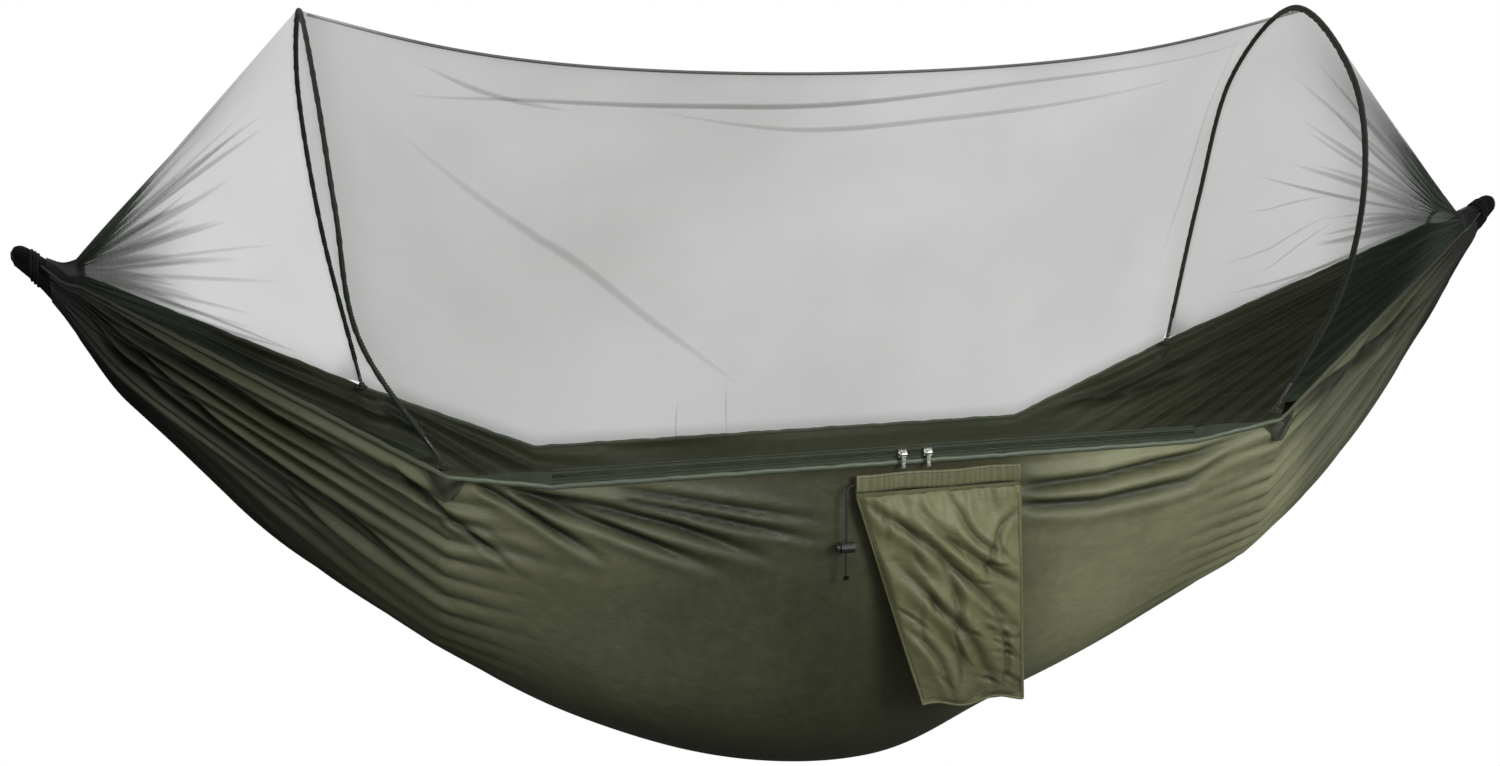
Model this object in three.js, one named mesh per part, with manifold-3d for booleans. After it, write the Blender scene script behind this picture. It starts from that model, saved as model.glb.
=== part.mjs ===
// Camping hammock with a pop-up insect net, as it hangs from its two gathered ends.
// Millimetres, +Z up. The origin is the left hanging point and +X runs to the right one.
// The front, with the zip and the stuff pouch, faces -Y.
import * as THREE from 'three';
import Module from 'manifold-3d';
import { mergeVertices } from 'three/addons/utils/BufferGeometryUtils.js';

const wasm = await Module();
wasm.setup();

// Whole hammock. X is measured from the middle, and Z from the line between the hanging points.
const HALF_SPAN = 1025;
const SAG = 735;
const SAG_POWER = 1.9;
const BUNDLE_DROP = 16;
const CLOTH = 2;
const HEM = { bottom: 0.7, top: 3.3 };

// The right half of the mouth's two edges, from the gathered end to the middle: [x, y, z].
const FRONT_EDGE = [[1025, -10, -4], [555, -230, -258], [430, -225, -280], [0, -225, -280]];
const BACK_EDGE = [[1025, 10, -4], [610, 205, -232], [370, 215, -335], [0, 215, -335]];

// Stations of the cloth from the middle out. They include every corner of the two edges.
const STATIONS = [0, 75, 150, 225, 300, 370, 430, 490, 555, 610, 675, 740, 805, 865, 925, 985];

// The cloth hangs a little higher right of the middle.
const LIFT = { start: 40, end: 660, height: 34 };

// Right hoop, from its back foot over the top to its front foot. The left one mirrors it.
const HOOP = [
  [610, 193, -226], [655, 196, -10], [680, 158, 175], [685, 0, 280],
  [680, -165, 185], [669, -219, 60], [648, -213, -90], [555, -216, -246],
];
const ROD_DIAMETER = 5;
const SLEEVE_DIAMETER = 12;
const SLEEVE_BORE = 7.4;
const TIP_RADIUS = 5;
const ROD_STEPS = 36;

// Cup at each corner of the mouth. Its rim is at this angle below the tip's middle, in radians.
const CUP = { clearance: 1, wall: 2.5, rimAngle: -0.62 };

// Gathered end: a bundle that narrows from the body to a round end, with cord turns round it.
const BUNDLE = {
  reach: 10, centre: -7, startHeight: 24, endWidth: 14, endHeight: 17, margin: 2, rings: 9, around: 14,
};
const TURNS = { count: 3, cord: 3.4, inner: 11.5, groove: 19, outer: 20.4, x: 1003, z: -13, ease: 0.35 };

// Insect net
const NET = 1.6;
const RIDGE_HEIGHT = 195;
const RIDGE_RISE = 52;
const NET_TIP = 955;
const NET_SETBACK = 12;
const NET_ABOVE_EDGE = 6;
const NET_FOOT = 0.03;
const NET_BELLY = 0.16;
const NET_TIP_RISE = 36;
const NET_RIDGE_GAP = 0.006;

// Zip along the straight middle of the front edge
const ZIP_HALF = 428;
const TAPE = 6;
const COIL = 2.2;
const ZIP_RISE = 2 * TAPE + 2 * COIL + 7;
const SLIDERS_AT = [18, 52];
const SLIDER = { width: 11, depth: 4.9, tall: 9.6, front: 3.25, wall: 0.4 };
const BAIL = { reach: 8.9, spread: 4.3, bar: 1.8 };
const PULL = { width: 5, thick: 1.4, length: 17, eye: 5, hole: 2.8 };

// Stuff pouch: its seam runs under the zip.
const POUCH = {
  left: -44, right: 178, seamZ: -315, backY: -231.5,
  bottomLeft: 50, bottomRight: 190, bottomZ: -604, fullness: 26, mouth: 9,
};
const HEADER = { top: -291, bottom: -313.6, back: -228.6, front: -233.4 };

// Drawcord route, from the header's left end down to its knot
const CORD_DIAMETER = 3;
const CORD_ROUTE = [
  [-47, -231, -304], [-51, -231.5, -304.5], [-55, -233, -307], [-57.5, -235, -312],
  [-58, -236.5, -319], [-58, -237, -328], [-58, -237, -340], [-58, -237, -354],
  [-58, -237, -368], [-58, -237, -382], [-58, -237, -396], [-58, -237, -408], [-58, -237, -419],
];
const LOCK_Z = -382;
const LOCK = {
  cordHole: 4.8,
  travel: 3.2,
  barrel: { diameter: 14, length: 18, x: 1, bore: 10, boreLength: 16.4, boreX: -1.3 },
  button: { diameter: 9, length: 15, x: -5.6 },
  spring: { radius: 2.6, wire: 0.7, turns: 2.5, start: 2.9, length: 3 },
};
const KNOT = { radius: 3.6, below: 3.5 };
const GAP = 0.4;

const colours = {
  cloth: 0x565a3e, hem: 0x171813, net: 0x9aa396, tape: 0x5d6b4c, coil: 0x6c7a58,
  metal: 0xc3c5bd, rod: 0x23241f, sleeve: 0x2c3a2b, plastic: 0x141513, pouch: 0x5e5d45,
};

const model = new THREE.Group();
const centred = new THREE.Group();
centred.position.x = HALF_SPAN;
model.add(centred);

function addPiece(name, geometry, colour, roughness = 0.8, metalness = 0) {
  const material = new THREE.MeshStandardMaterial({ color: colour, roughness, metalness });
  const piece = new THREE.Mesh(geometry, material);
  piece.name = name;
  centred.add(piece);
  return piece;
}

// ---- shared shapes ----

function lerp(a, b, t) {
  return a + (b - a) * t;
}

// A point of a mouth edge at any x, on the straight runs between its listed points.
function edgeAt(edge, x) {
  const reach = Math.min(Math.abs(x), edge[0][0]);
  for (let i = 0; i < edge.length - 1; i++) {
    const [outer, inner] = [edge[i], edge[i + 1]];
    if (reach >= inner[0]) {
      const t = (outer[0] - reach) / (outer[0] - inner[0]);
      return new THREE.Vector3(x, lerp(outer[1], inner[1], t), lerp(outer[2], inner[2], t));
    }
  }
  return new THREE.Vector3(x, edge.at(-1)[1], edge.at(-1)[2]);
}

// x along the cloth from its left end (u = 0) to its right end (u = 1), station by station.
const BODY_HALF = STATIONS.at(-1);
const BODY_COLUMNS = 2 * (STATIONS.length - 1);

function stationAt(u) {
  const place = Math.abs(2 * u - 1) * (STATIONS.length - 1);
  const index = Math.min(Math.floor(place), STATIONS.length - 2);
  const reach = lerp(STATIONS[index], STATIONS[index + 1], place - index);
  return u < 0.5 ? -reach : reach;
}

// The lowest line of the hanging cloth.
function bottomAt(x) {
  const hang = -SAG * (1 - Math.abs(x / HALF_SPAN) ** SAG_POWER) - BUNDLE_DROP;
  const along = (x - LIFT.start) / (LIFT.end - LIFT.start);
  const lift = along > 0 && along < 1 ? LIFT.height * Math.sin(Math.PI * along) ** 2 : 0;
  return hang + lift;
}

// Cross-section of the body: half an ellipse hung between the two edges. t runs from -1 to 1.
function bodyPoint(x, t) {
  const front = edgeAt(FRONT_EDGE, x);
  const back = edgeAt(BACK_EDGE, x);
  const side = Math.sin(Math.PI * t / 2);
  const share = (side + 1) / 2;
  const rim = lerp(front.z, back.z, share);
  const z = rim + (bottomAt(x) - rim) * Math.cos(Math.PI * t / 2);
  return new THREE.Vector3(x, lerp(front.y, back.y, share), z);
}

// A closed sheet of even thickness about a surface given as a function of (u, v), each from 0 to 1.
function sheet(surface, columns, rows, thickness) {
  const step = 1e-4;
  const corners = [];
  for (const side of [0.5, -0.5]) {
    for (let i = 0; i <= columns; i++) {
      for (let j = 0; j <= rows; j++) {
        const [u, v] = [i / columns, j / rows];
        const alongU = surface(Math.min(u + step, 1), v).sub(surface(Math.max(u - step, 0), v));
        const alongV = surface(u, Math.min(v + step, 1)).sub(surface(u, Math.max(v - step, 0)));
        const normal = alongU.cross(alongV).normalize();
        corners.push(...surface(u, v).addScaledVector(normal, side * thickness));
      }
    }
  }
  const layer = (columns + 1) * (rows + 1);
  const at = (i, j, side) => side * layer + i * (rows + 1) + j;
  const faces = [];
  const quad = (a, b, c, d) => faces.push(a, b, c, a, c, d);
  for (let i = 0; i < columns; i++) {
    for (let j = 0; j < rows; j++) {
      quad(at(i, j, 0), at(i + 1, j, 0), at(i + 1, j + 1, 0), at(i, j + 1, 0));
      quad(at(i, j, 1), at(i, j + 1, 1), at(i + 1, j + 1, 1), at(i + 1, j, 1));
    }
    quad(at(i, 0, 0), at(i, 0, 1), at(i + 1, 0, 1), at(i + 1, 0, 0));
    quad(at(i, rows, 0), at(i + 1, rows, 0), at(i + 1, rows, 1), at(i, rows, 1));
  }
  for (let j = 0; j < rows; j++) {
    quad(at(0, j, 0), at(0, j + 1, 0), at(0, j + 1, 1), at(0, j, 1));
    quad(at(columns, j, 0), at(columns, j, 1), at(columns, j + 1, 1), at(columns, j + 1, 0));
  }
  const geometry = new THREE.BufferGeometry();
  geometry.setAttribute('position', new THREE.Float32BufferAttribute(corners, 3));
  geometry.setIndex(faces);
  return geometry;
}

// A regular outline of the given diameter, with a bore through it where one is asked for.
function roundSection(diameter, sides, bore = 0) {
  const corner = (k, size) => {
    const angle = 2 * Math.PI * k / sides;
    return new THREE.Vector2(size / 2 * Math.cos(angle), size / 2 * Math.sin(angle));
  };
  const ring = (size) => Array.from({ length: sides }, (_, k) => corner(k, size));
  const shape = new THREE.Shape(ring(diameter));
  if (bore) shape.holes.push(new THREE.Path(ring(bore)));
  return shape;
}

function tube(points, diameter, sides, steps, bore = 0) {
  const path = new THREE.CatmullRomCurve3(points);
  const section = roundSection(diameter, sides, bore);
  return new THREE.ExtrudeGeometry(section, { steps, extrudePath: path, curveSegments: 1 });
}

function box(sizeX, sizeY, sizeZ, x, y, z) {
  return new THREE.BoxGeometry(sizeX, sizeY, sizeZ).translate(x, y, z);
}

function solidOf(geometry) {
  const bare = geometry.clone();
  bare.deleteAttribute('normal');
  bare.deleteAttribute('uv');
  const merged = mergeVertices(bare, 1e-4);
  const vertProperties = new Float32Array(merged.attributes.position.array);
  const triVerts = new Uint32Array(merged.index.array);
  return new wasm.Manifold(new wasm.Mesh({ numProp: 3, vertProperties, triVerts }));
}

function geometryOf(solid) {
  const mesh = solid.getMesh();
  const geometry = new THREE.BufferGeometry();
  geometry.setAttribute('position', new THREE.Float32BufferAttribute(mesh.vertProperties, 3));
  geometry.setIndex(Array.from(mesh.triVerts));
  return geometry;
}

function cut(geometry, ...tools) {
  const solid = tools.reduce((rest, tool) => rest.subtract(solidOf(tool)), solidOf(geometry));
  return geometryOf(solid);
}

function joined(...geometries) {
  const [first, ...others] = geometries.map(solidOf);
  return geometryOf(others.reduce((whole, part) => whole.add(part), first));
}

function rod(diameter, length, axis, x, y, z, sides = 12) {
  const cylinder = new THREE.CylinderGeometry(diameter / 2, diameter / 2, length, sides);
  if (axis === 'x') cylinder.rotateZ(Math.PI / 2);
  if (axis === 'z') cylinder.rotateX(Math.PI / 2);
  return cylinder.translate(x, y, z);
}

// ---- hammock body, its hems and gathered ends ----

function makeBody() {
  const surface = (u, v) => bodyPoint(stationAt(u), lerp(1, -1, v));
  addPiece('hammock_body', sheet(surface, BODY_COLUMNS, 16, CLOTH), colours.cloth, 0.55);
}

// The turned edge: a strip that stands on the body's rim.
function makeHem(name, edge) {
  const surface = (u, v) => {
    const point = edgeAt(edge, stationAt(u));
    point.z += lerp(HEM.bottom, HEM.top, v);
    return point;
  };
  const side = Math.sign(edge[0][1]);
  const outward = (u, v) => surface(side < 0 ? u : 1 - u, v);
  addPiece(name, sheet(outward, BODY_COLUMNS, 1, CLOTH), colours.tape, 0.7);
}

// The gathered cloth past the body's last full section.
function makeEnd(side) {
  const name = side < 0 ? 'left' : 'right';
  const { rings, around } = BUNDLE;
  const start = BODY_HALF + CLOTH;
  const length = HALF_SPAN + BUNDLE.reach - start;
  const front = edgeAt(FRONT_EDGE, BODY_HALF);
  const middleAt = (s) => lerp((front.z + bottomAt(BODY_HALF)) / 2, BUNDLE.centre, s);
  const points = [];
  for (let i = 0; i < rings; i++) {
    const s = i / rings;
    const close = Math.sqrt(1 - s ** 4);
    const halfWidth = lerp(-front.y + BUNDLE.margin, BUNDLE.endWidth, s) * close;
    const halfHeight = lerp(BUNDLE.startHeight, BUNDLE.endHeight, s) * close;
    for (let k = 0; k < around; k++) {
      const angle = 2 * Math.PI * k / around;
      const y = halfWidth * Math.cos(angle);
      points.push(side * (start + s * length), side * y, middleAt(s) + halfHeight * Math.sin(angle));
    }
  }
  points.push(side * start, 0, middleAt(0), side * (start + length), 0, middleAt(1));
  const geometry = new THREE.BufferGeometry();
  geometry.setAttribute('position', new THREE.Float32BufferAttribute(points, 3));
  geometry.setIndex(spindleFaces(rings, around));
  addPiece(`${name}_end_hem`, cut(geometry, gatherRing(side, TURNS.ease)), colours.hem, 0.75);
  addPiece(`${name}_gather_cord`, gatherRing(side, 0), colours.plastic, 0.6);
}

// Faces of a stack of rings closed by a point at each end. The two points come after the rings.
function spindleFaces(rings, around) {
  const faces = [];
  const first = rings * around;
  const last = (rings - 1) * around;
  for (let k = 0; k < around; k++) {
    const next = (k + 1) % around;
    faces.push(first, next, k);
    for (let i = 0; i < rings - 1; i++) {
      const [a, b] = [i * around, (i + 1) * around];
      faces.push(a + k, a + next, b + next, a + k, b + next, b + k);
    }
    faces.push(last + k, last + next, first + 1);
  }
  return faces;
}

// Cord turns lashed round the bundle: one grooved ring that stands for the turns.
function gatherRing(side, ease) {
  const { count, cord } = TURNS;
  const inner = TURNS.inner - ease;
  const profile = [new THREE.Vector2(inner, -ease)];
  for (let k = 0; k < count; k++) {
    profile.push(new THREE.Vector2(TURNS.groove + ease, k * cord - (k ? 0 : ease)));
    profile.push(new THREE.Vector2(TURNS.outer + ease, (k + 0.5) * cord));
  }
  profile.push(new THREE.Vector2(TURNS.groove + ease, count * cord + ease));
  profile.push(new THREE.Vector2(inner, count * cord + ease));
  profile.push(profile[0].clone());
  const ring = new THREE.LatheGeometry(profile, 16);
  ring.rotateZ(side < 0 ? Math.PI / 2 : -Math.PI / 2);
  return ring.translate(side * TURNS.x, 0, TURNS.z);
}

// ---- hoops ----

function hoopPoints(side) {
  return HOOP.map(([x, y, z]) => new THREE.Vector3(side * x, y, z));
}

// Evenly spaced stations on the rod, between its two tips.
function rodStations(side) {
  const curve = new THREE.CatmullRomCurve3(hoopPoints(side));
  const clear = (TIP_RADIUS + GAP) / curve.getLength();
  const at = (k) => curve.getPointAt(lerp(clear, 1 - clear, k / ROD_STEPS));
  return Array.from({ length: ROD_STEPS + 1 }, (_, k) => at(k));
}

// The sleeve shares the rod's stations, and stops one short of it at both feet.
function makeHoop(side) {
  const name = side < 0 ? 'left' : 'right';
  const stations = rodStations(side);
  const spring = tube(stations, ROD_DIAMETER, 6, ROD_STEPS);
  addPiece(`${name}_hoop_rod`, spring, colours.rod, 0.35);
  const cover = tube(stations.slice(1, -1), SLEEVE_DIAMETER, 6, ROD_STEPS - 2, SLEEVE_BORE);
  addPiece(`${name}_hoop_sleeve`, cover, colours.sleeve);
  for (const [end, [x, y, z]] of [['back', HOOP[0]], ['front', HOOP.at(-1)]]) {
    const ball = new THREE.SphereGeometry(TIP_RADIUS, 8, 6).translate(side * x, y, z);
    addPiece(`${name}_hoop_${end}_tip`, ball, colours.plastic, 0.5);
    addPiece(`${name}_${end}_rod_socket`, socketAt(side * x, y, z), colours.hem, 0.8);
  }
}

// A shallow cup at a corner of the mouth: the rod's round tip stands and turns in it.
function socketAt(x, y, z) {
  const inner = TIP_RADIUS + CUP.clearance;
  const outer = inner + CUP.wall;
  const [bottom, rim] = [-Math.PI / 2, CUP.rimAngle];
  const steps = 3;
  const profile = [];
  for (let k = 0; k <= steps; k++) {
    const angle = lerp(bottom, rim, k / steps);
    profile.push(new THREE.Vector2(outer * Math.cos(angle), outer * Math.sin(angle)));
  }
  for (let k = steps; k >= 0; k--) {
    const angle = lerp(bottom, rim, k / steps);
    profile.push(new THREE.Vector2(inner * Math.cos(angle), inner * Math.sin(angle)));
  }
  profile[0].x = 0;
  profile[profile.length - 1].x = 0;
  const cup = new THREE.LatheGeometry(profile, 8);
  cup.rotateX(Math.PI / 2);
  return cup.translate(x, y, z);
}

// ---- insect net ----

// Height of the net's ridge between the two hoops.
function ridgeAt(x) {
  return RIDGE_HEIGHT + RIDGE_RISE * (x / HOOP[3][0]) ** 2;
}

// One slope of the net roof. v runs from the ridge (0) down to the mouth's edge (1).
function roofPoint(front, u, v) {
  const side = u < 0.5 ? -1 : 1;
  const across = Math.abs(2 * u - 1);
  const curve = new THREE.CatmullRomCurve3(hoopPoints(side));
  const apex = 0.5;
  const run = v * (apex - NET_FOOT);
  const along = front ? apex + run : apex - run;
  const onHoop = curve.getPointAt(along);
  const x = (onHoop.x - side * NET_SETBACK) * across;
  const foot = edgeAt(front ? FRONT_EDGE : BACK_EDGE, x);
  const rise = front ? ZIP_RISE : NET_ABOVE_EDGE;
  const y = foot.y * (v + NET_BELLY * Math.sin(Math.PI * v));
  const z = lerp(ridgeAt(x), foot.z + rise, v);
  const share = across ** 6;
  return new THREE.Vector3(x, lerp(y, onHoop.y, share), lerp(z, onHoop.z, share));
}

// End net: a cone of cloth from the hoop in to the gathered end. v runs from front foot to back foot.
function endPoint(side, u, v) {
  const curve = new THREE.CatmullRomCurve3(hoopPoints(side));
  const onHoop = curve.getPointAt(lerp(1 - NET_FOOT, NET_FOOT, v));
  onHoop.x += side * NET_SETBACK;
  const front = edgeAt(FRONT_EDGE, side * NET_TIP);
  const angle = Math.PI * v;
  const tip = new THREE.Vector3(side * NET_TIP, front.y * Math.cos(angle), 0);
  tip.z = front.z + lerp(NET_ABOVE_EDGE, NET_TIP_RISE, Math.sin(angle));
  const point = onHoop.lerp(tip, u);
  const edge = edgeAt(v < 0.5 ? FRONT_EDGE : BACK_EDGE, point.x);
  point.z = Math.max(point.z, edge.z + NET_ABOVE_EDGE);
  return point;
}

function makeNet() {
  const walls = { net_front_wall: true, net_back_wall: false };
  for (const [name, front] of Object.entries(walls)) {
    const surface = (u, v) => roofPoint(front, front ? 1 - u : u, lerp(NET_RIDGE_GAP, 1, v));
    addPiece(name, sheet(surface, 20, 7, NET), colours.net, 0.9);
  }
  for (const side of [-1, 1]) {
    const name = side < 0 ? 'net_left_end' : 'net_right_end';
    const surface = (u, v) => endPoint(side, side < 0 ? 1 - u : u, v);
    addPiece(name, sheet(surface, 6, 16, NET), colours.net, 0.9);
  }
}

// ---- zip ----

const zipY = FRONT_EDGE.at(-1)[1];
const zipBase = FRONT_EDGE.at(-1)[2] + HEM.top + GAP;
const lowerCoilZ = zipBase + TAPE + COIL / 2 + GAP;
const upperCoilZ = lowerCoilZ + COIL + GAP;
const zipZ = (lowerCoilZ + upperCoilZ) / 2;

function makeZip() {
  const length = 2 * ZIP_HALF;
  const upperTapeZ = upperCoilZ + COIL / 2 + GAP + TAPE / 2;
  addPiece('zip_lower_tape', box(length, 1.2, TAPE, 0, zipY, zipBase + TAPE / 2), colours.tape);
  addPiece('zip_upper_tape', box(length, 1.2, TAPE, 0, zipY, upperTapeZ), colours.tape);
  addPiece('zip_lower_coil', box(length, 2.8, COIL, 0, zipY, lowerCoilZ), colours.coil, 0.5);
  addPiece('zip_upper_coil', box(length, 2.8, COIL, 0, zipY, upperCoilZ), colours.coil, 0.5);
}

// A slider grips both coils from the front, and carries a small bail for its pull.
function makeSlider(x, name) {
  const { width, depth, tall, front, wall } = SLIDER;
  const through = width + 2;
  const grip = 2 * COIL + GAP + 2 * wall;
  const plate = box(width, depth, tall, x, zipY - front, zipZ);
  const channel = box(through, 2.6, grip, x, zipY - 0.7, zipZ);
  const tapes = box(through, 1.5, tall + 2, x, zipY - 0.35, zipZ);
  const postY = (front + depth / 2 + BAIL.reach) / 2;
  const postDepth = BAIL.reach - front - depth / 2 + 1.4;
  const posts = [-BAIL.spread, BAIL.spread].map((dx) =>
    box(1.6, postDepth, 2, x + dx, zipY - postY, zipZ));
  const bar = rod(BAIL.bar, 2 * BAIL.spread + 0.4, 'x', x, zipY - BAIL.reach, zipZ, 8);
  const body = cut(joined(plate, ...posts, bar), channel, tapes);
  addPiece(`zip_slider_${name}`, body, colours.metal, 0.3, 1);

  const eye = rod(PULL.eye, PULL.width, 'x', 0, 0, 0);
  const tab = box(PULL.width, PULL.thick, PULL.length, 0, 0, -PULL.length / 2 - 1);
  const hole = rod(PULL.hole, PULL.width + 2, 'x', 0, 0, 0);
  const pull = cut(joined(eye, tab), hole).translate(x, zipY - BAIL.reach, zipZ);
  addPiece(`zip_pull_${name}`, pull, colours.metal, 0.3, 1);
}

// ---- stuff pouch and its drawcord ----

function makePouch() {
  const { left, right, seamZ, backY, bottomLeft, bottomRight, bottomZ, fullness, mouth } = POUCH;
  const width = right - left;
  const middle = (left + right) / 2;
  const depth = HEADER.front - HEADER.back;
  const height = HEADER.top - HEADER.bottom;
  const band = [middle, (HEADER.front + HEADER.back) / 2, (HEADER.top + HEADER.bottom) / 2];
  const exit = rod(CORD_DIAMETER + 1.2, 9, 'x', left, CORD_ROUTE[0][1], CORD_ROUTE[0][2]);
  const header = cut(box(width, -depth, height, ...band), exit);
  addPiece('pouch_header', header, colours.pouch, 0.6);

  const outline = (u, v) => {
    const from = lerp(left, bottomLeft, v);
    const to = lerp(right, bottomRight, v);
    return [lerp(from, to, u), lerp(seamZ, bottomZ, v)];
  };
  const back = (u, v) => {
    const [x, z] = outline(u, v);
    return new THREE.Vector3(x, backY, z);
  };
  const front = (u, v) => {
    const [x, z] = outline(u, v);
    const swell = Math.sin(Math.PI * u) ** 0.6 * (fullness * Math.sin(Math.PI * v ** 0.8) ** 0.8);
    const open = mouth * Math.sin(Math.PI * u) ** 0.4 * (1 - v);
    return new THREE.Vector3(x, backY - CLOTH - 0.8 - swell - open, z - 4 * (1 - v));
  };
  addPiece('pouch_back_panel', sheet((u, v) => back(1 - u, 1 - v), 6, 8, 1.6), colours.pouch, 0.6);
  addPiece('pouch_front_panel', sheet((u, v) => front(u, v), 10, 10, 1.6), colours.pouch, 0.6);
}

function makeDrawcord() {
  const route = CORD_ROUTE.map((point) => new THREE.Vector3(...point));
  addPiece('pouch_drawcord', tube(route, CORD_DIAMETER, 8, 22), colours.plastic, 0.8);
  const [x, y, z] = CORD_ROUTE.at(-1);
  const knot = new THREE.SphereGeometry(KNOT.radius, 8, 6).scale(1, 1, 0.85);
  addPiece('drawcord_knot', knot.translate(x, y, z - KNOT.below), colours.plastic, 0.8);
}

// Spring cord lock: the cord passes across the barrel and across the button inside it.
function makeCordLock() {
  const [x, y] = CORD_ROUTE.at(-1);
  const { barrel, button, spring, cordHole, travel } = LOCK;
  const through = barrel.diameter + 6;
  const hole = rod(cordHole, through, 'z', 0, 0, 0);
  const shell = rod(barrel.diameter, barrel.length, 'x', barrel.x, 0, 0, 16);
  const bore = rod(barrel.bore, barrel.boreLength, 'x', barrel.boreX, 0, 0, 14);
  addPiece('cord_lock_barrel', cut(shell, bore, hole).translate(x, y, LOCK_Z), colours.plastic, 0.5);

  const farHole = rod(cordHole, through, 'z', -travel, 0, 0);
  const slot = joined(hole, farHole, box(travel, cordHole, through, -travel / 2, 0, 0));
  const plunger = rod(button.diameter, button.length, 'x', button.x, 0, 0, 14);
  addPiece('cord_lock_button', cut(plunger, slot).translate(x, y, LOCK_Z), colours.plastic, 0.5);

  const count = 25;
  const points = Array.from({ length: count + 1 }, (_, k) => {
    const angle = 2 * Math.PI * spring.turns * k / count;
    const along = spring.start + spring.length * k / count;
    return new THREE.Vector3(along, spring.radius * Math.cos(angle), spring.radius * Math.sin(angle));
  });
  const coil = tube(points, spring.wire, 5, 30).translate(x, y, LOCK_Z);
  addPiece('cord_lock_spring', coil, colours.metal, 0.3, 1);
}

makeBody();
makeHem('front_hem', FRONT_EDGE);
makeHem('back_hem', BACK_EDGE);
for (const side of [-1, 1]) {
  makeEnd(side);
  makeHoop(side);
}
makeNet();
makeZip();
makeSlider(SLIDERS_AT[0], 'left');
makeSlider(SLIDERS_AT[1], 'right');
makePouch();
makeDrawcord();
makeCordLock();

export default model;
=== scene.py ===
"""Camping hammock with a pop-up insect net: the detailed model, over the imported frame.

Metres, +Z up. The frame's origin is the left hanging point. Shapes below are worked out from the
middle of the hammock (MIDDLE is its place in the frame), with z = 0 on the line between the
hanging points and the front, with zip and pouch, facing -Y. side is -1 at the left, 1 at the right.
"""

import math

import bpy
import numpy as np
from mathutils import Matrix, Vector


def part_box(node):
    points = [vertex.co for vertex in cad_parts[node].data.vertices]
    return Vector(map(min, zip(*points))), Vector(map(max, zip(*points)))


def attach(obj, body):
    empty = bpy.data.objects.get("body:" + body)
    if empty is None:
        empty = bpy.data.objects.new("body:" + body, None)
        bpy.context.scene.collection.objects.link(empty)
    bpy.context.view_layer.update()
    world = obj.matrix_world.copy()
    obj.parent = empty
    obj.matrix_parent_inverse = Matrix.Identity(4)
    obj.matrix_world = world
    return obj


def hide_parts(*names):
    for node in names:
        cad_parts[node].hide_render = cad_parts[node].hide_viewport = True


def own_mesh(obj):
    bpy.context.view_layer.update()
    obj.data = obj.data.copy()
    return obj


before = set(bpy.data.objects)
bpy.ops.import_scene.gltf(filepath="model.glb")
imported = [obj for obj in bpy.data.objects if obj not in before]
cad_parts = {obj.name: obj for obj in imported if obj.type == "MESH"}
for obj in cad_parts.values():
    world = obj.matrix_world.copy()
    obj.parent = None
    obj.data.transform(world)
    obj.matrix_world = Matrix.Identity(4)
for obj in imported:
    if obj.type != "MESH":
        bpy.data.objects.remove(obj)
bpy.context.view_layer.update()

body_low, body_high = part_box("hammock_body")
MIDDLE = (body_low[0] + body_high[0]) / 2
TAU = 2 * math.pi
NAMES = {-1: "left", 1: "right"}

# ---- the frame's own shape ----

HALF_SPAN = 1.025
SAG, SAG_POWER = 0.735, 1.9
BUNDLE_DROP = 0.016
LIFT_START, LIFT_END, LIFT_HEIGHT = 0.04, 0.66, 0.034
# The mouth's two edges from the middle out: x, y, z.
FRONT_EDGE = np.array([[0, -0.225, -0.28], [0.43, -0.225, -0.28],
                       [0.555, -0.23, -0.258], [1.025, -0.01, -0.004]])
BACK_EDGE = np.array([[0, 0.215, -0.335], [0.37, 0.215, -0.335],
                      [0.61, 0.205, -0.232], [1.025, 0.01, -0.004]])
# Right hoop, back foot to front foot.
HOOP = np.array([[0.61, 0.193, -0.226], [0.655, 0.196, -0.01], [0.68, 0.158, 0.175],
                 [0.685, 0, 0.28], [0.68, -0.165, 0.185], [0.669, -0.219, 0.06],
                 [0.648, -0.213, -0.09], [0.555, -0.216, -0.246]])
# The bundle at a gathered end: distance out, half width, half height and height of its middle.
BUNDLE = np.array([[0.95, 0.044, 0.0345, -0.079], [0.966, 0.037, 0.0301, -0.0641],
                   [0.978, 0.0312, 0.0269, -0.0519], [0.99, 0.0262, 0.0235, -0.0395],
                   [1.003, 0.0212, 0.0199, -0.0262], [1.015, 0.0182, 0.018, -0.0155],
                   [1.024, 0.0158, 0.0155, -0.0095], [1.03, 0.0115, 0.0108, -0.008],
                   [1.0335, 0.0045, 0.004, -0.007]])
# Where the rims of the cloth lie on the bundle, as an angle from its underside.
RIM_ANGLE = 2.147
ZIP_HALF, ZIP_Y = 0.428, -0.225


# ---- helpers: numbers ----

def lerp(a, b, t):
    return a + (b - a) * t


def smooth(low, high, value):
    """0 below low, 1 above high, with an even turn between them."""
    t = np.clip((value - low) / (high - low), 0, 1)
    return t * t * (3 - 2 * t)


def within(margin, share):
    """0 at both ends of a share from 0 to 1, and 1 further in than margin."""
    return smooth(0, margin, share) * smooth(0, margin, 1 - share)


def bell(away, width):
    return np.exp(-(away / width) ** 2)


def unit(v):
    return v / np.maximum(np.linalg.norm(v, axis=-1, keepdims=True), 1e-12)


def stack(*parts):
    """Points from their coordinates, which are spread over each other first."""
    return np.stack(np.broadcast_arrays(*parts), -1)


def look_up(table, x):
    """The columns of a table at a distance from the middle, which is its first column."""
    return [np.interp(np.abs(x), table[:, 0], column) for column in table.T[1:]]


def ripples(seed, least, run, beats):
    """Uneven waves along a run, with these numbers of waves to the unit."""
    draw = np.random.default_rng(seed).uniform
    return sum(draw(least, 1) * np.sin(TAU * beat * run + draw(0, TAU)) for beat in beats)


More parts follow.
